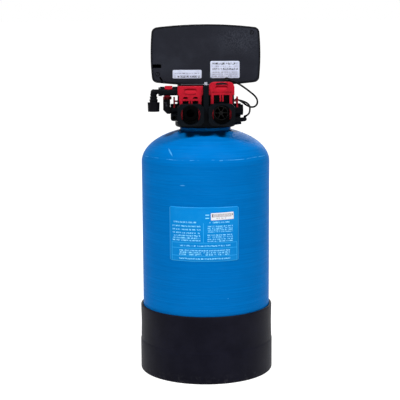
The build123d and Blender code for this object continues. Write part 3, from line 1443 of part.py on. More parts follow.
def main():
    """Writes every node."""
    os.makedirs("parts", exist_ok=True)
    print("lead radii", [round(r, 1) for r in lead_radii()])
    pieces = {
        "boot": boot(),
        "tank_winding": tank_winding(),
        "tank_liner": tank_liner(),
        "resin_bed": resin_bed(),
        "riser_tube": riser_tube(),
        "bottom_distributor": bottom_distributor(),
        "top_distributor": top_distributor(),
        "valve_body": valve_body(),
        "tank_o_ring": tank_o_ring(),
        "riser_o_ring": riser_o_ring(),
        "piston": piston(),
        "piston_rod": piston_rod(),
        "piston_seals": Compound(children=piston_seals()),
        "seal_spacers": Compound(children=seal_spacers()),
        "piston_cap": piston_cap(),
        "inlet_clip": inlet_clip(),
        "outlet_clip": outlet_clip(),
        "left_side_clip": side_clip(-1),
        "right_side_clip": side_clip(1),
        "drain_clip": drain_clip(),
        "drain_elbow": drain_elbow(),
        "drain_nut": drain_nut(),
        "drain_o_ring": drain_o_ring(),
        "drain_flow_washer": flow_washer(),
        "injector_housing": injector_housing(),
        "injector_plug": injector_plug(),
        "injector_nozzle": injector_nozzle(),
        "injector_screws": Compound(children=injector_screws()),
        "side_cap": side_cap(),
        "turbine_cage": turbine_cage(),
        "turbine": turbine(),
        "sensor_plug": sensor_plug(),
        "sensor_lead": sensor_lead(),
        "lead_clip": lead_clip(),
        "lead_grommet": lead_grommet(),
        "cable_tie": cable_tie(),
        "drive_bracket": drive_bracket(),
        "motor_plate": motor_plate(),
        "bracket_screws": Compound(children=bracket_screws()),
        "motor": motor(),
        "motor_pinion": motor_pinion(),
        "reduction_gear": reduction_gear(),
        "drive_gear": drive_gear(),
        "front_cover": front_cover(),
        "rear_cover": rear_cover(),
        "cover_screws": Compound(children=cover_screws()),
        "circuit_board": circuit_board(),
        "display_module": display_module(),
        "display_window": display_window(),
    }
    names = ["set_button", "down_button", "up_button", "regenerate_button"]
    for name, x in zip(names, button_places()):
        pieces[name] = button(x)
    for name, shape in pieces.items():
        save(shape, name)


main()
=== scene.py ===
import math

import bmesh
import bpy
import numpy as np
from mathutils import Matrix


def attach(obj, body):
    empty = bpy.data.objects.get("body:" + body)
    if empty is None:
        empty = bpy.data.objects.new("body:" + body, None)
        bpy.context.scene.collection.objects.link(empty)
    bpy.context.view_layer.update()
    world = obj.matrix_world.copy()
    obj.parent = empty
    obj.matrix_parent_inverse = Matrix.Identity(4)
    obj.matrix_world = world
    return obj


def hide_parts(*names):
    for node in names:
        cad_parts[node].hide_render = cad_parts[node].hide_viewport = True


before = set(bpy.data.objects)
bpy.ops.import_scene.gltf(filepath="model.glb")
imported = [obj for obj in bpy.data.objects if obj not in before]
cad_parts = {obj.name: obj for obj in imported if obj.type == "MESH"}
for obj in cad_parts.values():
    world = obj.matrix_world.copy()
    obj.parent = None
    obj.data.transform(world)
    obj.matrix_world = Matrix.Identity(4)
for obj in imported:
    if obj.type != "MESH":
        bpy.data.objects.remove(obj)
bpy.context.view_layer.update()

MM = 0.001


# The studio: the softener is seen from the side of its pipe ports, a little from above, on a pale
# floor that runs on into a white background.

VIEW_AZIMUTH = -1.4
VIEW_DISTANCE = 2.111
VIEW_HEIGHT = 0.636
VIEW_PITCH = -8.79
VIEW_HEADING = -1.17
VIEW_ROLL = 0.33
VIEW_LENS = 106.0

camera = bpy.data.objects.new("view", bpy.data.cameras.new("view"))
camera.data.lens = VIEW_LENS
camera.data.sensor_width = 36
camera.location = (
    VIEW_DISTANCE * math.sin(math.radians(VIEW_AZIMUTH)),
    -VIEW_DISTANCE * math.cos(math.radians(VIEW_AZIMUTH)),
    VIEW_HEIGHT,
)
camera.rotation_euler = [math.radians(a) for a in (90 + VIEW_PITCH, VIEW_ROLL, VIEW_HEADING)]
bpy.context.scene.collection.objects.link(camera)
bpy.context.scene.camera = camera
bpy.context.scene.view_settings.view_transform = "Standard"


def paint(red, green, blue):
    """A colour written as it looks, 0 to 255, turned into the linear shares that a shader takes."""
    shares = np.array([red, green, blue]) / 255
    linear = np.where(shares < 0.04045, shares / 12.92, ((shares + 0.055) / 1.055) ** 2.4)
    return (*linear.tolist(), 1.0)


class Wire:
    """An output socket of a finish. Arithmetic on it adds Math nodes to the same finish."""

    def __init__(self, finish, socket):
        self.finish = finish
        self.socket = socket

    def maths(self, operation, first, second=0.0):
        return self.finish.node("ShaderNodeMath", {"operation": operation}, {0: first, 1: second})

    def __add__(self, other):
        return self.maths("ADD", self, other)

    def __sub__(self, other):
        return self.maths("SUBTRACT", self, other)

    def __rsub__(self, other):
        return self.maths("SUBTRACT", other, self)

    def __mul__(self, other):
        return self.maths("MULTIPLY", self, other)

    def __truediv__(self, other):
        return self.maths("DIVIDE", self, other)

    def __pow__(self, other):
        return self.maths("POWER", self, other)

    __radd__ = __add__
    __rmul__ = __mul__

    def sine(self):
        return self.maths("SINE", self)

    def over(self, level):
        """1 where the value is above the level."""
        return self.maths("GREATER_THAN", self, level)

    def between(self, low, high):
        """1 from low to high."""
        return self.over(low) * self.maths("LESS_THAN", self, high)

    def ease(self, low, high):
        """0 below low and 1 above high, with a smooth rise between them."""
        return self.finish.node(
            "ShaderNodeMapRange",
            {"interpolation_type": "SMOOTHSTEP"},
            {"Value": self, "From Min": low, "From Max": high},
        )


class Finish:
    """A material in the making: a Principled shader and the nodes that feed it."""

    def __init__(self, name, roughness=0.5, specular=0.5, metallic=0.0):
        self.material = bpy.data.materials.new(name)
        self.material.use_nodes = True
        self.tree = self.material.node_tree
        self.shader = self.tree.nodes["Principled BSDF"]
        self.shader.inputs["Roughness"].default_value = roughness
        self.shader.inputs["Specular IOR Level"].default_value = specular
        self.shader.inputs["Metallic"].default_value = metallic
        self.spot = self.node("ShaderNodeTexCoord", output="Object")

    def node(self, kind, settings=None, inputs=None, output=0):
        """Adds a node: its settings are set first, then each socket gets its value or its link."""
        made = self.tree.nodes.new(kind)
        for key, value in (settings or {}).items():
            setattr(made, key, value)
        for key, value in (inputs or {}).items():
            if isinstance(value, Wire):
                self.tree.links.new(value.socket, made.inputs[key])
            else:
                made.inputs[key].default_value = value
        return Wire(self, made.outputs[output])

    def axes(self, vector=None):
        """The three parts of a vector, by default of the place on the object."""
        first = self.node("ShaderNodeSeparateXYZ", None, {0: vector or self.spot})
        return [Wire(self, part) for part in first.socket.node.outputs]

    def stretched(self, x=1.0, y=1.0, z=1.0):
        """The place on the object with each axis scaled by itself."""
        return self.node("ShaderNodeMapping", None, {"Vector": self.spot, "Scale": (x, y, z)})

    def noise(self, scale, detail=2.0, rough=0.5, vector=None):
        """Cloudy noise of so many lumps a metre, from 0 to 1."""
        place = vector or self.spot
        sockets = {"Vector": place, "Scale": scale, "Detail": detail, "Roughness": rough}
        return self.node("ShaderNodeTexNoise", None, sockets)

    def point(self, x, y, z):
        """A vector made of three values."""
        return self.node("ShaderNodeCombineXYZ", None, {0: x, 1: y, 2: z})

    def clamp(self, value):
        """The value, held from 0 to 1."""
        return self.node("ShaderNodeClamp", None, {0: value})

    def unrolled(self):
        """The place on a sheet as its UV map has it, in millimetres: across and up."""
        return self.axes(self.node("ShaderNodeUVMap", {"uv_map": "flat"}))[:2]

    def mix(self, share, first, second):
        """The first colour with a share of the second over it."""
        sockets = {0: share, 6: first, 7: second}
        return self.node("ShaderNodeMix", {"data_type": "RGBA"}, sockets, 2)

    def feed(self, socket, value):
        """Links a wire to one of the shader's sockets."""
        self.tree.links.new(value.socket, self.shader.inputs[socket])

    def relief(self, height, depth):
        """Bumps the surface: a height from 0 to 1 stands so many metres proud."""
        normal = self.node("ShaderNodeBump", None, {"Height": height, "Distance": depth})
        self.feed("Normal", normal)


FLOOR_SIZE = 400.0
FLOOR_GLOW = 0.62
FLOOR_GLOW_LEVEL = 1.6
FLOOR_MIRROR_SHARE = 0.65

floor = bpy.data.objects.new("floor", bpy.data.meshes.new("floor"))
half = FLOOR_SIZE / 2
floor.data.from_pydata(
    [(-half, -half, 0), (half, -half, 0), (half, half, 0), (-half, half, 0)], [], [(0, 1, 2, 3)]
)
floor_finish = Finish("floor_paper", roughness=0.9, specular=0.1)
fleck = floor_finish.noise(3.0, 3.0)
floor_tone = floor_finish.mix(fleck, paint(238, 238, 238), paint(244, 244, 243))
floor_finish.feed("Base Color", floor_tone)
seen = floor_finish.node("ShaderNodeLightPath", output="Is Camera Ray")
mirrored = floor_finish.node("ShaderNodeLightPath", output="Is Glossy Ray")
clear = floor_finish.node("ShaderNodeLightPath", output="Is Transmission Ray")
glow = floor_finish.node(
    "ShaderNodeEmission", None, {"Color": paint(255, 255, 255), "Strength": FLOOR_GLOW_LEVEL}
)
shown = floor_finish.node(
    "ShaderNodeMixShader",
    None,
    {
        0: (seen + clear + mirrored * FLOOR_MIRROR_SHARE) * FLOOR_GLOW,
        1: Wire(floor_finish, floor_finish.shader.outputs[0]),
        2: glow,
    },
)
floor_finish.tree.links.new(
    shown.socket, floor_finish.tree.nodes["Material Output"].inputs["Surface"]
)
floor.data.materials.append(floor_finish.material)
bpy.context.scene.collection.objects.link(floor)

WORLD_LIGHT = 0.14

world = bpy.data.worlds.new("studio")
bpy.context.scene.world = world
world.use_nodes = True
sky = world.node_tree
path = sky.nodes.new("ShaderNodeLightPath")
background = sky.nodes["Background"]
background.inputs["Color"].default_value = paint(255, 255, 255)
direct = sky.nodes.new("ShaderNodeMath")
direct.operation = "MAXIMUM"
sky.links.new(path.outputs["Is Camera Ray"], direct.inputs[0])
sky.links.new(path.outputs["Is Transmission Ray"], direct.inputs[1])
either = sky.nodes.new("ShaderNodeMath")
either.operation = "MAXIMUM"
sky.links.new(direct.outputs[0], either.inputs[0])
sky.links.new(path.outputs["Is Glossy Ray"], either.inputs[1])
level = sky.nodes.new("ShaderNodeMapRange")
sky.links.new(either.outputs[0], level.inputs["Value"])
level.inputs["To Min"].default_value = WORLD_LIGHT
level.inputs["To Max"].default_value = 1.0
sky.links.new(level.outputs[0], background.inputs["Strength"])


def softbox(name, place, aim, width, height, power):
    """A rectangular lamp that faces a point."""
    lamp = bpy.data.lights.new(name, "AREA")
    lamp.shape = "RECTANGLE"
    lamp.size = width
    lamp.size_y = height
    lamp.energy = power
    light = bpy.data.objects.new(name, lamp)
    bpy.context.scene.collection.objects.link(light)
    light.location = place
    toward = np.array(aim) - np.array(place)
    flat = math.hypot(toward[0], toward[1])
    light.rotation_euler = (math.atan2(flat, -toward[2]), 0, math.atan2(-toward[0], toward[1]))


for name, place, aim_z, width, height, power in (
    ("front_left", (-1.35, -1.5, 2.7), 0.34, 0.5, 0.5, 66),
    ("front_right", (1.45, -1.45, 2.65), 0.34, 0.5, 0.5, 56),
    ("overhead", (0.05, 0.22, 2.1), 0.4, 0.5, 0.4, 8),
    ("behind", (0.6, 2.4, 1.4), 0.35, 1.6, 1.4, 24),
):
    softbox(name, place, (0, 0, aim_z), width, height, power)


# Boot: a black polythene cup that stands under the vessel. It is moulded in one piece, slightly
# waisted above its crease, and picks up dust and scuffs near the floor.


def dress(finish, *nodes):
    """Gives a finish to solids of the frame."""
    for node in nodes:
        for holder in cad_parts[node].material_slots:
            holder.material = finish.material


BOOT_INK = paint(13, 13, 24)
BOOT_PALE = paint(27, 27, 39)
BOOT_DUST = paint(84, 84, 88)

boot_finish = Finish("boot_polythene", roughness=0.47, specular=0.05)
x, y, z = boot_finish.axes()
cloud = boot_finish.noise(22.0, 4.0, 0.6)
grain = boot_finish.noise(1500.0, 2.0, 0.6)
drag = boot_finish.noise(30.0, 5.0, 0.65, boot_finish.stretched(3.0, 3.0, 0.35))
scuff = boot_finish.noise(70.0, 6.0, 0.75, boot_finish.stretched(1.0, 1.0, 7.0)).ease(0.66, 0.78)
low_dust = (1 - z.ease(0.0, 0.022)) * boot_finish.noise(110.0, 4.0, 0.7).ease(0.5, 0.72)
boot_tone = boot_finish.mix(cloud.ease(0.35, 0.7) * 0.4, BOOT_INK, BOOT_PALE)
boot_tone = boot_finish.mix(scuff * 0.28, boot_tone, BOOT_DUST)
boot_tone = boot_finish.mix(low_dust * 0.25, boot_tone, BOOT_DUST)
boot_finish.feed("Base Color", boot_tone)
boot_finish.feed("Roughness", 0.42 + cloud * 0.12 + scuff * 0.15)
boot_finish.relief(grain * 0.35 + drag * 0.65, 0.00022)


def build(name, points, flat=None, wrap=False):
    """A mesh from a grid of points: neighbours in both directions join as quads.

    points is (across, up, 3). flat gives each point's place on the unrolled surface as its UV map.
    wrap joins the last column to the first, and each pole becomes one point.
    """
    across, up = points.shape[:2]
    index = np.arange(across * up).reshape(across, up)
    if wrap:
        index = np.concatenate([index, index[:1]])
    quads = np.stack([index[:-1, :-1], index[1:, :-1], index[1:, 1:], index[:-1, 1:]], -1)
    quads = quads.reshape(-1, 4)
    mesh = bpy.data.meshes.new(name)
    mesh.from_pydata(points.reshape(-1, 3).tolist(), [], quads.tolist())
    if flat is not None:
        layer = mesh.uv_layers.new(name="flat")
        layer.data.foreach_set("uv", flat.reshape(-1, 2)[quads.reshape(-1)].ravel())
    if wrap:
        work = bmesh.new()
        work.from_mesh(mesh)
        bmesh.ops.remove_doubles(work, verts=work.verts, dist=1e-7)
        work.to_mesh(mesh)
        work.free()
    mesh.shade_smooth()
    piece = bpy.data.objects.new(name, mesh)
    bpy.context.scene.collection.objects.link(piece)
    return piece


def fit(piece, finish, body):
    """Gives a new piece its finish and its body."""
    piece.data.materials.append(finish.material)
    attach(piece, body)
    return piece


BOOT_R = 120.5 * MM
BOOT_IN_R = 115.3 * MM
BOOT_H = 121.0 * MM
BOOT_FLOOR = 5.0 * MM
CREASE_Z = 56.0 * MM
WAIST = 0.9 * MM
WAIST_HOLLOW = 0.5 * MM
FOOT_ROUND = 3.0 * MM
LIP_ROUND = 2.2 * MM


def cup(name, around):
    """The boot as one outline turned round Z.

    From the middle of its underside the outline runs out to a quarter-round foot, up to the crease
    and in to the waist, which is hollowed by d / 2 * (1 - cos(2 pi t)) between the crease and the
    lip. The lip is a quarter round outside and a chamfer inside, where the wall goes down to the
    floor.
    """
    quarter = np.linspace(0, math.pi / 2, 8)
    foot_r = BOOT_R - FOOT_ROUND + FOOT_ROUND * np.sin(quarter)
    foot_z = FOOT_ROUND - FOOT_ROUND * np.cos(quarter)
    rise = np.linspace(0, 1, 24)
    wall_low = CREASE_Z + 1.2 * MM
    wall_z = wall_low + rise * (BOOT_H - LIP_ROUND - wall_low)
    wall_r = BOOT_R - WAIST - WAIST_HOLLOW / 2 * (1 - np.cos(rise * 2 * math.pi))
    lip_r = BOOT_R - WAIST - LIP_ROUND + LIP_ROUND * np.cos(quarter)
    lip_z = BOOT_H - LIP_ROUND + LIP_ROUND * np.sin(quarter)
    crease_r = [BOOT_R, BOOT_R, BOOT_R - 0.3 * MM]
    crease_z = [CREASE_Z / 2, CREASE_Z - 1.5 * MM, CREASE_Z]
    inner_r = [BOOT_IN_R + 0.6 * MM, BOOT_IN_R, BOOT_IN_R, BOOT_IN_R, BOOT_IN_R / 2, 0]
    inner_z = [BOOT_H, BOOT_H - 0.6 * MM, BOOT_H / 2, BOOT_FLOOR, BOOT_FLOOR, BOOT_FLOOR]
    radius = np.concatenate([[0, BOOT_R / 2], foot_r, crease_r, wall_r, lip_r, inner_r])
    height = np.concatenate([[0, 0], foot_z, crease_z, wall_z, lip_z, inner_z])
    angle = np.linspace(0, 2 * math.pi, around, endpoint=False)[:, None]
    levels = np.broadcast_to(height, (around, radius.size))
    points = np.stack([radius * np.cos(angle), radius * np.sin(angle), levels], -1)
    return build(name, points, wrap=True)


boot = fit(cup("boot_cup", 192), boot_finish, "softener")
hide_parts("boot")


# Vessel: glass fibre wound wet over the liner and coloured with blue gel coat. The hoops of the
# winding run level round it, and faint slanting turns cross under them.

GEL_BLUE = paint(0, 112, 190)
GEL_DEEP = paint(0, 90, 163)
GEL_PALE = paint(92, 184, 240)
HOOPS = 760.0
THREADS = 2600.0
SLANT_RISE = 900.0
SLANTS = 26.0
SHOULDER_Z = 0.3945
SCUFFS = [
    (-0.0627, 0.4065, 0.0022, 0.0075, 0.55),
    (-0.0425, 0.3515, 0.0055, 0.0012, 0.0),
    (0.024, 0.3945, 0.0042, 0.0012, 0.0),
    (0.0356, 0.152, 0.0013, 0.0013, 0.0),
]

gel = Finish("wound_gel_coat", roughness=0.3, specular=0.007)
x, y, z = gel.axes()
turn = y.maths("ARCTAN2", y, x)
hoops = gel.noise(1.0, 5.0, 0.62, gel.point(x * 7.0, y * 7.0, z * HOOPS))
threads = gel.noise(1.0, 2.0, 0.5, gel.point(x * 30.0, y * 30.0, z * THREADS))
slant_up = (z * SLANT_RISE + turn * SLANTS).sine()
slant_down = (z * SLANT_RISE - turn * SLANTS).sine()
patches = gel.noise(9.0, 3.0, 0.6)
gel_tone = gel.mix(hoops.ease(0.3, 0.7) * 0.5, GEL_BLUE, GEL_DEEP)
gel_tone = gel.mix(threads.ease(0.55, 0.85) * 0.1, gel_tone, GEL_PALE)
gel_tone = gel.mix(patches.ease(0.45, 0.8) * 0.2, gel_tone, GEL_DEEP)
marks = gel.noise(420.0, 4.0, 0.7).ease(0.66, 0.74) * gel.noise(14.0, 2.0).ease(0.58, 0.7)
rear = 1 - y.ease(-0.02, 0.0)
for mark_x, mark_z, half_w, half_h, lean in SCUFFS:
    up = z - mark_z
    along = (x - mark_x + up * lean) / half_w
    off = (along * along + (up / half_h) * (up / half_h)) ** 0.5
    near = 1 - off.ease(0.4, 1.0)
    marks = marks + near * gel.noise(900.0, 3.0, 0.7).ease(0.35, 0.55) * rear
ridge = z - SHOULDER_Z - (turn * 7.0).sine() * 0.0005 - gel.noise(60.0, 2.0) * 0.001
ridge = 1 - ridge.maths("ABSOLUTE", ridge).ease(0.0002, 0.0007)
marks = marks + ridge * gel.noise(55.0, 3.0, 0.7).ease(0.42, 0.62) * 0.8
marks = gel.clamp(marks)
gel_tone = gel.mix(marks * 0.6, gel_tone, GEL_PALE)
gel.feed("Base Color", gel_tone)
gel.feed("Roughness", 0.3 + hoops * 0.12 + marks * 0.2)
slants = (slant_up + slant_down) * 0.07
gel.relief(hoops * 0.7 + threads * 0.25 + slants, 0.0003)
dress(gel, "tank_winding")


# Vessel's label: a thin printed film, a shade lighter than the gel coat, stuck round the wall under
# the ports. It carries ruled boxes with rows of dashes, and a white sticker set a little askew.

TANK_R = 115.0 * MM
FILM_RISE = 0.12 * MM
LABEL_W = 126.4 * MM
LABEL_H = 95.3 * MM
LABEL_TURN = math.radians(-3.1)
LABEL_Z = 266.8 * MM
LABEL_CORNER = 3.0 * MM


def rounded_sheet(width, height, corner, across=40, up=32):
    """A flat sheet with round corners as a grid: each row is as wide as the outline at its height.

    The half width at height v is W - r + sqrt(r^2 - (|v| - (H - r))^2) inside the corners.
    """
    v = np.linspace(-0.5, 0.5, up)
    v = np.sin(v * math.pi) / 2 * 0.35 + v * 0.65
    v = v * height
    deep = np.clip(np.abs(v) - (height / 2 - corner), 0, corner)
    half_width = width / 2 - corner + np.sqrt(corner**2 - deep**2)
    u = np.linspace(-1, 1, across)
    return u[:, None] * half_width[None, :], np.broadcast_to(v, (across, up))


def thicken(piece, depth):
    """Gives a sheet its thickness, away from its outer face."""
    solid = piece.modifiers.new("depth", "SOLIDIFY")
    solid.thickness = depth
    solid.offset = -1.0


label_u, label_v = rounded_sheet(LABEL_W, LABEL_H, LABEL_CORNER)
label_angle = LABEL_TURN + label_u / TANK_R
label_r = TANK_R + FILM_RISE
label_points = np.stack(
    [label_r * np.sin(label_angle), -label_r * np.cos(label_angle), label_v + LABEL_Z], -1
)
label_flat = np.stack([label_u / MM, label_v / MM], -1)
label = build("vessel_label", label_points, label_flat)
thicken(label, FILM_RISE * 0.8)

FILM_BLUE = paint(0, 130, 209)
FILM_LOW = paint(0, 125, 202)
FILM_LINE = paint(58, 176, 238)
FILM_TEXT = paint(140, 222, 255)

film = Finish("label_film", roughness=0.3, specular=0.06)
u, v = film.unrolled()


def block(u, v, left, right, low, high):
    """1 inside a rectangle of the unrolled label, in millimetres."""
    return u.between(left, right) * v.between(low, high)


def ruled(finish, u, v, left, right, rows, tall, seed, fine=1.0):
    """Rows of broken dashes with so many strokes a millimetre, in groups of uneven length."""
    words = finish.noise(1.0, 2.0, 0.7, finish.point(u * 0.42, v * 0.07 + seed, seed))
    strokes = finish.noise(1.0, 1.0, 0.5, finish.point(u * fine, v * 0.4, seed))
    lines = 0.0
    for row in rows:
        lines = v.between(row - tall / 2, row + tall / 2) + lines
    ink_share = words.ease(0.42, 0.49) * (0.12 + strokes.ease(0.42, 0.56) * 0.88)
    return lines * u.between(left, right) * ink_share


HEADING_ROWS = (21.1,)
LEFT_ROWS = (14.3, 8.3, 2.4, -2.4, -6.5, -10.5)
RIGHT_ROWS = (14.3, 11.0, 8.0, 4.6, -1.1, -4.4, -8.2, -11.7)
BOX_RULES = (-14.8, -24.2, -37.9, -47.1)
BOX_ROWS = (-20.0, -28.2, -31.8, -35.4, -42.6)
BOX_LEFT = -58.2
BOX_RIGHT = 59.2
RULE_HALF = 0.4

wear = film.noise(40.0, 4.0, 0.6)
film_tone = film.mix(v.ease(-40.0, 40.0), FILM_LOW, FILM_BLUE)
film_tone = film.mix(wear.ease(0.4, 0.8) * 0.12, film_tone, FILM_LINE)
rules = 0.0
for rule in BOX_RULES:
    rules = block(u, v, BOX_LEFT, BOX_RIGHT, rule - RULE_HALF, rule + RULE_HALF) + rules
for side in (BOX_LEFT, BOX_RIGHT):
    upright = u.between(side - RULE_HALF, side + RULE_HALF)
    rules = rules + upright * v.between(BOX_RULES[-1], BOX_RULES[0])
rules = rules + block(u, v, -1.3, -0.3, -14.0, 20.0)
border = 1 - block(u, v, -61.6, 61.6, -46.2, 46.0)
rules = film.clamp(rules + border * 0.25)
film_tone = film.mix(rules * 0.75, film_tone, FILM_LINE)
dashes = ruled(film, u, v, -54.5, -13.2, HEADING_ROWS, 2.6, 1.0, 0.7)
dashes = dashes + ruled(film, u, v, 9.9, 45.5, HEADING_ROWS, 2.6, 2.0, 0.7)
dashes = dashes + ruled(film, u, v, -57.2, -6.1, LEFT_ROWS, 2.2, 3.0, 0.62)
dashes = dashes + ruled(film, u, v, 6.3, 51.2, RIGHT_ROWS, 1.8, 4.0, 0.62)
dashes = dashes + ruled(film, u, v, -44.4, 46.5, BOX_ROWS, 2.2, 5.0, 0.6)
dashes = dashes + block(u, v, 2.8, 9.2, 33.2, 35.0) + block(u, v, 2.8, 9.2, 27.8, 29.4)
film_tone = film.mix(film.clamp(dashes), film_tone, FILM_TEXT)
film.feed("Base Color", film_tone)
film.feed("Roughness", 0.26 + wear * 0.12)
film.relief(film.noise(260.0, 3.0, 0.6), 0.00008)
fit(label, film, "softener")

STICKER_W = 41.0 * MM
STICKER_H = 12.6 * MM
STICKER_AT = (32.6 * MM, 31.6 * MM)
STICKER_TILT = math.radians(1.6)

sticker_u, sticker_v = rounded_sheet(STICKER_W, STICKER_H, 1.2 * MM, 24, 14)
tilted_u = STICKER_AT[0] + sticker_u * math.cos(STICKER_TILT) - sticker_v * math.sin(STICKER_TILT)
tilted_v = STICKER_AT[1] + sticker_u * math.sin(STICKER_TILT) + sticker_v * math.cos(STICKER_TILT)
sticker_angle = LABEL_TURN + tilted_u / TANK_R
sticker_r = label_r + FILM_RISE
sticker_points = np.stack(
    [sticker_r * np.sin(sticker_angle), -sticker_r * np.cos(sticker_angle), tilted_v + LABEL_Z], -1
)
sticker_flat = np.stack([sticker_u / MM, sticker_v / MM], -1)
sticker = build("vessel_sticker", sticker_points, sticker_flat)
thicken(sticker, FILM_RISE * 0.8)

STICKER_WHITE = paint(232, 234, 240)
STICKER_INK = paint(44, 36, 44)
STICKER_GREY = paint(112, 96, 106)

paper = Finish("sticker_paper", roughness=0.55, specular=0.15)
u, v = paper.unrolled()
bars = paper.noise(1.0, 3.0, 0.75, paper.point(u * 1.9, 0.0, 0.0)).ease(0.47, 0.53)
bars = bars * block(u, v, -18.0, 16.5, -1.4, 4.6)
ends = block(u, v, -18.4, -17.2, -0.6, 4.4) + block(u, v, 17.6, 19.0, 0.4, 3.6)
under = ruled(paper, u, v, -11.0, 6.0, (-3.4,), 1.6, 6.0)
paper_tone = paper.mix(paper.noise(300.0, 3.0) * 0.12, STICKER_WHITE, STICKER_GREY)
paper_tone = paper.mix(bars * 0.85, paper_tone, STICKER_GREY)
paper_tone = paper.mix(paper.clamp(ends + under * 0.8), paper_tone, STICKER_INK)
paper.feed("Base Color", paper_tone)
paper.relief(paper.noise(900.0, 2.0), 0.00003)
fit(sticker, paper, "softener")


# Valve body: one glass-filled moulding, semi-matt black, that screws down on the vessel's neck. The
# drain elbow, its nut, the side cap, the injector housing and the flow plug are of the same kind.


def black_moulding(name, ink, sheen, roughness):
    """Black engineering plastic: fine mould grain, soft flow marks, and a paler bloom on top."""
    made = Finish(name, roughness=roughness, specular=0.05)
    flow = made.noise(60.0, 4.0, 0.6, made.stretched(1.0, 1.0, 0.5))
    fine = made.noise(1900.0, 2.0, 0.6)
    speck = made.noise(850.0, 2.0, 0.7).ease(0.68, 0.75)
    tone = made.mix(flow.ease(0.4, 0.75) * 0.5, ink, sheen)
    tone = made.mix(speck * 0.12, tone, paint(120, 122, 128))
    made.feed("Base Color", tone)
    made.feed("Roughness", roughness - 0.05 + flow * 0.12)
    made.relief(fine * 0.6 + flow * 0.4, 0.00008)
    return made


body_black = black_moulding("valve_moulding", paint(6, 10, 15), paint(13, 18, 24), 0.4)
dress(body_black, "valve_body")

fitting_black = black_moulding("fitting_moulding", paint(8, 9, 13), paint(17, 18, 23), 0.36)
dress(fitting_black, "drain_elbow", "side_cap", "injector_housing", "sensor_plug", "lead_clip")

nut_black = black_moulding("nut_moulding", paint(9, 9, 14), paint(17, 17, 22), 0.5)
dress(nut_black, "drain_nut")


# Clips: red acetal, one of a taller pattern and one squarer for the two ports, a U clip at each
# side and a saddle on the drain spout. All of them pull out by hand.

CLIP_RED = paint(180, 16, 38)
CLIP_DEEP = paint(132, 9, 28)
CLIP_BRIGHT = paint(220, 20, 32)

clip_red = Finish("clip_acetal", roughness=0.3, specular=0.16)
swirl = clip_red.noise(75.0, 4.0, 0.6, clip_red.stretched(1.0, 1.0, 0.6))
clip_tone = clip_red.mix(swirl.ease(0.35, 0.75) * 0.5, CLIP_RED, CLIP_DEEP)
rubbed = clip_red.noise(340.0, 4.0, 0.7).ease(0.6, 0.74)
clip_tone = clip_red.mix(rubbed * 0.25, clip_tone, CLIP_BRIGHT)
clip_red.feed("Base Color", clip_tone)
clip_red.feed("Roughness", 0.27 + swirl * 0.14)
clip_red.relief(swirl * 0.5 + clip_red.noise(1300.0, 2.0) * 0.5, 0.00009)
dress(clip_red, "inlet_clip", "outlet_clip", "left_side_clip", "right_side_clip", "drain_clip")

# Painted shade: the injector plug under the drain socket takes a darker copy of the clips' red.
shaded_red = Finish("plug_nylon_shaded", roughness=0.34, specular=0.15)
swirl = shaded_red.noise(90.0, 4.0, 0.6)
shaded_plug_tone = shaded_red.mix(swirl.ease(0.3, 0.75), paint(128, 10, 28), paint(92, 5, 20))
shaded_red.feed("Base Color", shaded_plug_tone)
shaded_red.feed("Roughness", 0.3 + swirl * 0.12)
shaded_red.relief(shaded_red.noise(1200.0, 2.0), 0.00006)
dress(shaded_red, "injector_plug")


# Flow-meter lead: a thin black two-core lead from the head's grommet to the plug in the valve's
# side. It leaves in one free loop, turns back behind the valve and comes down to its plug.

LEAD_D = 3.2 * MM
LEAD_ROUTE = [
    (40.0, -44.5, 528.0),
    (46.0, -50.0, 527.5),
    (55.0, -52.0, 523.4),
    (66.0, -51.4, 516.4),
    (77.4, -50.2, 507.8),
    (85.4, -49.0, 501.2),
    (90.2, -47.4, 494.2),
    (90.6, -45.2, 486.8),
    (86.6, -42.4, 481.4),
    (80.2, -39.0, 480.0),
    (73.6, -34.6, 482.2),
    (67.6, -28.4, 486.4),
    (62.8, -21.2, 489.6),
    (59.2, -13.6, 491.4),
    (56.6, -6.0, 491.8),
    (56.6, 2.6, 491.2),
    (60.9, 8.5, 489.6),
    (67.8, 10.8, 487.6),
    (74.7, 8.5, 484.8),
    (79.0, 2.6, 481.2),
    (79.8, -5.2, 477.0),
    (79.2, -13.2, 472.8),
    (77.8, -21.0, 468.8),
    (74.8, -27.0, 465.8),
    (70.8, -29.9, 463.9),
]

lead_line = bpy.data.curves.new("flow_lead", "CURVE")
lead_line.dimensions = "3D"
lead_line.bevel_depth = LEAD_D / 2
lead_line.bevel_resolution = 5
lead_line.resolution_u = 10
lead_line.use_fill_caps = True
spline = lead_line.splines.new("NURBS")
spline.points.add(len(LEAD_ROUTE) - 1)
places = np.ones((len(LEAD_ROUTE), 4))
places[:, :3] = np.array(LEAD_ROUTE) * MM
spline.points.foreach_set("co", places.ravel())
spline.order_u = 3
spline.use_endpoint_u = True
lead = bpy.data.objects.new("flow_lead", lead_line)
bpy.context.scene.collection.objects.link(lead)

lead_skin = Finish("lead_sheath", roughness=0.42, specular=0.06)
smudge = lead_skin.noise(130.0, 4.0, 0.6)
lead_tone = lead_skin.mix(smudge.ease(0.35, 0.75), paint(2, 2, 4), paint(8, 8, 11))
lead_skin.feed("Base Color", lead_tone)
lead_skin.feed("Roughness", 0.38 + smudge * 0.15)
lead_skin.relief(lead_skin.noise(1600.0, 2.0), 0.00005)
fit(lead, lead_skin, "softener")
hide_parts("sensor_lead")
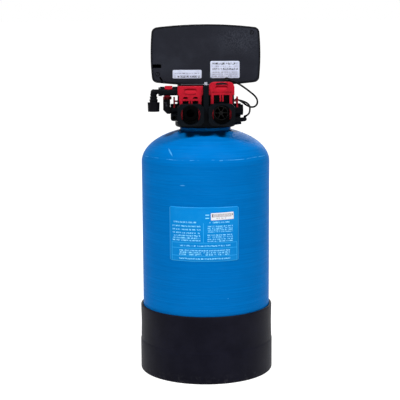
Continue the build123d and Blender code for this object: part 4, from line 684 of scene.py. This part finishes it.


# Cable tie: a thin nylon band pulled tight round the body's rim, with its square head between the
# ports. Away from the head the band is painted dark grey, as painted shade.

nylon = Finish("tie_nylon", roughness=0.38, specular=0.2)
x, y, z = nylon.axes()
ridges = (x * 4200.0).sine() * 0.5 + 0.5
nylon_tone = nylon.mix(nylon.noise(240.0, 3.0), paint(196, 200, 212), paint(160, 164, 180))
# Painted shade: away from its head the band is painted dark grey.
band_shade = x.maths("ABSOLUTE", x).ease(0.003, 0.006) * 0.9
nylon_tone = nylon.mix(band_shade, nylon_tone, paint(44, 46, 54))
nylon.feed("Base Color", nylon_tone)
nylon.relief(ridges * 0.7 + nylon.noise(900.0, 2.0) * 0.3, 0.00012)
dress(nylon, "cable_tie")


# Control head: a deep front shell and a flat back panel set into it, both of black ABS with a
# spark-eroded grain. Two screws in round recesses hold the panel.

COVER_SCREWS = ((81.0, 610.5), (-84.0, 539.0))
PAINTED_SHEEN_X = 62.0 * MM
PAINTED_SHEEN_Z = 600.0 * MM
RECESS_SHADE_R = 4.2 * MM

head_black = Finish("head_abs", roughness=0.5, specular=0.08)
x, y, z = head_black.axes()
spark = head_black.noise(1250.0, 3.0, 0.75)
pits = head_black.noise(520.0, 3.0, 0.7)
bloom = head_black.noise(24.0, 4.0, 0.6)
head_tone = head_black.mix(spark.ease(0.35, 0.7), paint(20, 21, 28), paint(39, 41, 50))
head_tone = head_black.mix(bloom.ease(0.4, 0.75) * 0.4, head_tone, paint(46, 49, 58))
# Painted highlight: a paler, speckled patch towards the upper right of the back panel, where the
# light glances off it.
aside = x - PAINTED_SHEEN_X
above = z - PAINTED_SHEEN_Z
painted_sheen_off = (aside * aside + above * above * 2.5) ** 0.5
sheen = (1 - painted_sheen_off.ease(0.005, 0.06)) * head_black.noise(420.0, 3.0, 0.8).ease(0.4, 0.62)
head_tone = head_black.mix(sheen * 0.45, head_tone, paint(68, 72, 82))
# Painted shade: round each cover screw the panel is painted near black, as the shade in its recess.
for screw_x, screw_z in COVER_SCREWS:
    aside = x - screw_x * MM
    above = z - screw_z * MM
    off = (aside * aside + above * above) ** 0.5
    recess = 1 - off.ease(RECESS_SHADE_R - 0.8 * MM, RECESS_SHADE_R)
    head_tone = head_black.mix(recess, head_tone, paint(5, 5, 8))
motes = head_black.noise(900.0, 2.0, 0.8).ease(0.72, 0.78)
head_tone = head_black.mix(motes * 0.3, head_tone, paint(110, 114, 126))
head_black.feed("Base Color", head_tone)
head_black.feed("Roughness", 0.48 + pits * 0.14)
head_black.relief(spark * 0.6 + pits * 0.4, 0.00016)
dress(head_black, "rear_cover")

shell_black = Finish("shell_abs", roughness=0.42, specular=0.12)
spark = shell_black.noise(1500.0, 3.0, 0.7)
bloom = shell_black.noise(20.0, 4.0, 0.6)
shell_tone = shell_black.mix(spark.ease(0.35, 0.7) * 0.8, paint(10, 11, 16), paint(19, 20, 27))
shell_tone = shell_black.mix(bloom.ease(0.4, 0.75) * 0.3, shell_tone, paint(27, 28, 35))
shell_black.feed("Base Color", shell_tone)
shell_black.feed("Roughness", 0.38 + bloom * 0.12)
shell_black.relief(spark, 0.00009)
dress(shell_black, "front_cover")

rubber = Finish("seal_rubber", roughness=0.6, specular=0.12)
smudge = rubber.noise(150.0, 3.0, 0.6)
rubber.feed("Base Color", rubber.mix(smudge, paint(15, 15, 16), paint(34, 34, 36)))
rubber.relief(rubber.noise(1100.0, 3.0), 0.00008)
dress(rubber, "lead_grommet", "tank_o_ring", "riser_o_ring", "drain_o_ring", "piston_seals")


# Head labels: two self-adhesive plates of pale polyester on the back panel, the right one taller.
# Each carries rows of bold and of faint dashes.

PANEL_FACE = -40.0 * MM
PLATE_T = 0.2 * MM
PLATE_CORNER = 1.8 * MM
PLATE_MARGIN = 3.2
PLATE_PALE = paint(206, 212, 232)
PLATE_SHADE = paint(186, 192, 214)
PLATE_INK = paint(16, 13, 22)
PLATE_FAINT = paint(92, 88, 106)


def panel_label(name, left, right, low, high, bold_rows, faint_rows, seed):
    """A flat plate on the back panel with rows of bold and of faint dashes, in millimetres."""
    u, v = rounded_sheet((right - left) * MM, (high - low) * MM, PLATE_CORNER, 24, 16)
    middle_x = (left + right) / 2 * MM
    middle_z = (low + high) / 2 * MM
    face = np.full(u.shape, PANEL_FACE - PLATE_T)
    flat = np.stack([u / MM, v / MM], -1)
    plate = build(name, np.stack([u + middle_x, face, v + middle_z], -1), flat)
    thicken(plate, PLATE_T * 0.9)
    made = Finish(name + "_film", roughness=0.4, specular=0.15)
    u, v = made.unrolled()
    edge = (right - left) / 2 - PLATE_MARGIN
    tone = made.mix(made.noise(110.0, 4.0).ease(0.35, 0.75), PLATE_PALE, PLATE_SHADE)
    faint = ruled(made, u, v, -edge, edge, faint_rows, 1.5, seed, 1.2)
    tone = made.mix(made.clamp(faint) * 0.9, tone, PLATE_FAINT)
    bold = ruled(made, u, v, -edge, edge, bold_rows, 3.6, seed + 3.0, 0.8)
    tone = made.mix(made.clamp(bold), tone, PLATE_INK)
    made.feed("Base Color", tone)
    made.relief(made.noise(500.0, 3.0), 0.00004)
    fit(plate, made, "softener")


panel_label("head_label_left", -57.8, -7.0, 531.2, 546.1, (-4.2,), (1.6,), 2.0)
panel_label("head_label_right", 8.1, 59.4, 531.2, 561.3, (10.4, 1.2), (6.0, -4.4, -7.8, -11.2), 7.0)


# Cover screws: black-oxide pan heads with a cross recess, sunk in the panel's recesses. The
# injector housing is held by two more, a size smaller, on its face.


def cross_screw(name, centre, head_r, head_h, shank_r, shank_l, steps=20, around=48):
    """A pan-head screw along Y, as one profile turned round its axis.

    The head's top falls as h * sqrt(1 - 0.55 (r/R)^2). The cross recess lowers it where the smaller
    of |x| and |z| is under a sixth of R, and fades out between a half and 0.62 of R.
    """
    top = np.linspace(0, 1, steps)
    radius = np.concatenate([top * head_r, [head_r, shank_r, shank_r, 0]])
    rise = head_h * np.sqrt(1 - 0.55 * top**2)
    rise = np.concatenate([rise, [0, 0, -shank_l, -shank_l]])
    angle = np.linspace(0, 2 * math.pi, around, endpoint=False)
    across_x = radius[None, :] * np.cos(angle)[:, None]
    across_z = radius[None, :] * np.sin(angle)[:, None]
    narrow = np.minimum(np.abs(across_x), np.abs(across_z))
    arm = np.clip(1.4 - narrow / (head_r * 0.13), 0, 1)
    reach = np.clip((0.62 * head_r - radius[None, :]) / (0.12 * head_r), 0, 1)
    on_top = (np.arange(radius.size) < steps)[None, :]
    rise = rise[None, :] - arm * reach * on_top * head_h * 0.75
    points = np.stack([centre[0] + across_x, centre[1] - rise, centre[2] + across_z], -1)
    return build(name, points, wrap=True)


oxide = Finish("black_oxide", roughness=0.3, metallic=1.0)
tarnish = oxide.noise(700.0, 4.0, 0.65)
oxide.feed("Base Color", oxide.mix(tarnish.ease(0.35, 0.75), paint(58, 60, 68), paint(16, 17, 21)))
oxide.feed("Roughness", 0.24 + tarnish * 0.2)
oxide.relief(tarnish, 0.00003)


def screw_set(name, places, face, head_r, head_h, shank_r, shank_l, node):
    """Like screws, joined into one piece that stands for their node. Sizes are in millimetres."""
    sizes = [size * MM for size in (head_r, head_h, shank_r, shank_l)]
    screws = [
        cross_screw(f"{name}_{count}", (x * MM, face * MM, z * MM), *sizes)
        for count, (x, z) in enumerate(places)
    ]
    with bpy.context.temp_override(
        active_object=screws[0], selected_editable_objects=screws, selected_objects=screws
    ):
        bpy.ops.object.join()
    screws[0].name = name
    fit(screws[0], oxide, "softener")
    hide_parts(node)


INJECTOR_SCREWS = ((-69.9, 488.6), (-69.0, 484.2))

screw_set("cover_screw_set", COVER_SCREWS, -38.4, 2.6, 1.35, 1.4, 12, "cover_screws")
screw_set("injector_screw_set", INJECTOR_SCREWS, -40.2, 1.9, 1.1, 1, 6, "injector_screws")


# Inside: the working parts that the housings hide. The liner is white polyethylene, the resin is
# amber beads, the gears are acetal, the rod and the motor are steel, the board is glass epoxy.


def plain_part(name, first, second, lumps, roughness, depth, metallic, nodes):
    """A finish of two tones in cloudy patches, so many a metre, with a fine relief."""
    made = Finish(name, roughness=roughness, metallic=metallic)
    cloud = made.noise(lumps, 4.0, 0.6)
    made.feed("Base Color", made.mix(cloud.ease(0.3, 0.72), paint(*first), paint(*second)))
    made.feed("Roughness", roughness - 0.04 + cloud * 0.1)
    made.relief(made.noise(lumps * 9, 2.0) * 0.5 + cloud * 0.5, depth)
    dress(made, *nodes.split())


for row in (
    ("liner_polythene", (226, 228, 224), (204, 206, 200), 40, 0.5, 1e-4, 0, "tank_liner"),
    (
        "white_styrene", (226, 226, 220), (206, 206, 200), 90, 0.42, 6e-5, 0,
        "riser_tube bottom_distributor top_distributor",
    ),
    ("piston_acetal", (222, 220, 206), (196, 194, 182), 120, 0.36, 5e-5, 0, "piston"),
    ("drilled_black", (18, 19, 22), (32, 33, 37), 90, 0.42, 6e-5, 0, "seal_spacers piston_cap"),
    ("meter_black", (4, 4, 6), (9, 9, 12), 110, 0.5, 6e-5, 0, "turbine_cage turbine"),
    ("washer_rubber", (20, 20, 21), (40, 40, 41), 140, 0.6, 6e-5, 0, "drain_flow_washer"),
    ("nozzle_brass_tone", (196, 190, 168), (170, 162, 140), 160, 0.4, 4e-5, 0, "injector_nozzle"),
    ("rod_steel", (176, 178, 182), (140, 142, 148), 220, 0.24, 2e-5, 1, "piston_rod"),
    ("motor_can", (150, 152, 156), (118, 120, 124), 120, 0.32, 4e-5, 1, "motor"),
    ("bracket_plate", (34, 35, 38), (52, 53, 58), 100, 0.45, 6e-5, 0, "drive_bracket motor_plate"),
    ("bracket_screw_zinc", (188, 188, 184), (132, 130, 124), 400, 0.32, 3e-5, 1, "bracket_screws"),
    (
        "gear_acetal", (232, 230, 222), (210, 208, 198), 130, 0.34, 5e-5, 0,
        "motor_pinion reduction_gear drive_gear",
    ),
):
    plain_part(*row)

resin = Finish("resin_beads", roughness=0.3)
cells = resin.node("ShaderNodeTexVoronoi", None, {"Vector": resin.spot, "Scale": 900.0}, "Distance")
resin.feed("Base Color", resin.mix(cells.ease(0.1, 0.7), paint(206, 138, 44), paint(116, 62, 14)))
resin.relief(1 - cells, 0.0004)
dress(resin, "resin_bed")

epoxy = Finish("board_epoxy", roughness=0.35)
x, y, z = epoxy.axes()
tracks = (x * 900.0 + (z * 240.0).sine() * 3.0).sine().ease(0.72, 0.86)
tracks = tracks * epoxy.noise(60.0, 2.0).over(0.47)
epoxy_tone = epoxy.mix(epoxy.noise(140.0, 3.0), paint(10, 82, 44), paint(6, 58, 32))
epoxy.feed("Base Color", epoxy.mix(tracks * 0.6, epoxy_tone, paint(54, 148, 84)))
epoxy.relief(tracks, 0.00004)
dress(epoxy, "circuit_board")


# Display: a liquid crystal panel with a grey-green ground behind a clear acrylic window. Its dark
# segments stand for a clock's four figures, with a faint row of small marks under them. The window
# is printed black on its back round the panel.

PANE_HALF_W = 37.5 * MM
PANE_LOW = 573.8 * MM
PANE_HIGH = 600.2 * MM

panel_glass = Finish("window_acrylic", roughness=0.04, specular=0.5)
panel_glass.shader.inputs["Transmission Weight"].default_value = 1.0
panel_glass.shader.inputs["IOR"].default_value = 1.49
x, y, z = panel_glass.axes()
clear_pane = x.between(-PANE_HALF_W, PANE_HALF_W) * z.between(PANE_LOW, PANE_HIGH)
haze = panel_glass.noise(26.0, 3.0)
pane_tone = panel_glass.mix(haze, paint(250, 252, 252), paint(238, 244, 244))
panel_glass.feed("Base Color", panel_glass.mix(clear_pane, paint(6, 6, 8), pane_tone))
panel_glass.feed("Roughness", 0.02 + haze * 0.05)
dress(panel_glass, "display_window")

DISPLAY_Z = 587.0
GLASS_HALF_W = 36.0
GLASS_HALF_H = 11.6
FIGURE_W = 7.2
FIGURE_H = 13.0
SEGMENT = 1.5
CLOCK = ((18.5, "bc"), (7.5, "abged"), (-7.5, "abcdef"), (-18.5, "abcdef"))

crystal = Finish("crystal_ground", roughness=0.25, specular=0.2)
x, y, z = crystal.axes()
u = x / MM
v = z / MM - DISPLAY_Z
rim = 1 - block(u, v, -GLASS_HALF_W, GLASS_HALF_W, -GLASS_HALF_H, GLASS_HALF_H)
mid = SEGMENT / 2
tip = FIGURE_H / 2
edge = FIGURE_W / 2
gap = mid * 0.6
upper = v.between(gap, tip - gap)
lower = v.between(gap - tip, -gap)
figures = block(u, v, -0.8, 0.8, 2.2, 3.8) + block(u, v, -0.8, 0.8, -3.8, -2.2)
for middle, lit in CLOCK:
    place = u - middle
    flat_bar = place.between(2 * gap - edge, edge - 2 * gap)
    first = place.between(edge - SEGMENT, edge)
    last = place.between(-edge, SEGMENT - edge)
    segments = {
        "a": flat_bar * v.between(tip - SEGMENT, tip),
        "b": last * upper,
        "c": last * lower,
        "d": flat_bar * v.between(-tip, SEGMENT - tip),
        "e": first * lower,
        "f": first * upper,
        "g": flat_bar * v.between(-mid, mid),
    }
    for letter in lit:
        figures = figures + segments[letter]
small_marks = ruled(crystal, u, v, -30.0, 30.0, (-9.4,), 1.2, 9.0) * 0.5
figures = crystal.clamp(figures + small_marks)
ground = crystal.mix(crystal.noise(50.0, 3.0), paint(150, 164, 142), paint(134, 150, 128))
ground = crystal.mix(figures * 0.98, ground, paint(16, 22, 20))
crystal.feed("Base Color", crystal.mix(rim, ground, paint(18, 19, 22)))
crystal.relief(crystal.noise(900.0, 2.0), 0.00002)
dress(crystal, "display_module")


# Buttons: four grey silicone-coated caps, each with a printed mark that stands a little proud: a
# square, two arrows and a turning arrow.

BUTTON_Z = 549.95
CAP_FACE = 50.5 * MM
BUTTONS = {"regenerate_button": 39.0, "up_button": 13.0, "down_button": -13.0, "set_button": -39.0}

for node, middle in BUTTONS.items():
    key = Finish(node + "_cap", roughness=0.5, specular=0.2)
    x, y, z = key.axes()
    u = x / MM - middle
    v = z / MM - BUTTON_Z
    if node == "set_button":
        mark = block(u, v, -2.4, 2.4, -2.4, 2.4) - block(u, v, -1.5, 1.5, -1.5, 1.5)
    elif node == "regenerate_button":
        off = (u * u + v * v) ** 0.5
        mark = off.between(2.1, 3.0) * (1 - block(u, v, 0.0, 3.2, 0.0, 3.2))
        head_side = u.maths("ABSOLUTE", v - 2.55)
        mark = mark + u.between(-0.6, 1.5) * head_side.maths("LESS_THAN", head_side, 1.5 - u)
    else:
        rise = v if node == "up_button" else 0.0 - v
        side = u.maths("ABSOLUTE", u)
        mark = rise.between(-1.9, 2.7) * side.maths("LESS_THAN", side, (2.7 - rise) * 0.62)
    mark = key.clamp(mark * y.over(CAP_FACE))
    cloud = key.noise(120.0, 4.0, 0.6)
    tone = key.mix(cloud.ease(0.3, 0.7), paint(112, 116, 122), paint(92, 96, 103))
    key.feed("Base Color", key.mix(mark, tone, paint(236, 238, 240)))
    key.feed("Roughness", 0.46 + cloud * 0.1)
    key.relief(mark * 0.6 + key.noise(1100.0, 2.0) * 0.4, 0.0001)
    dress(key, node)
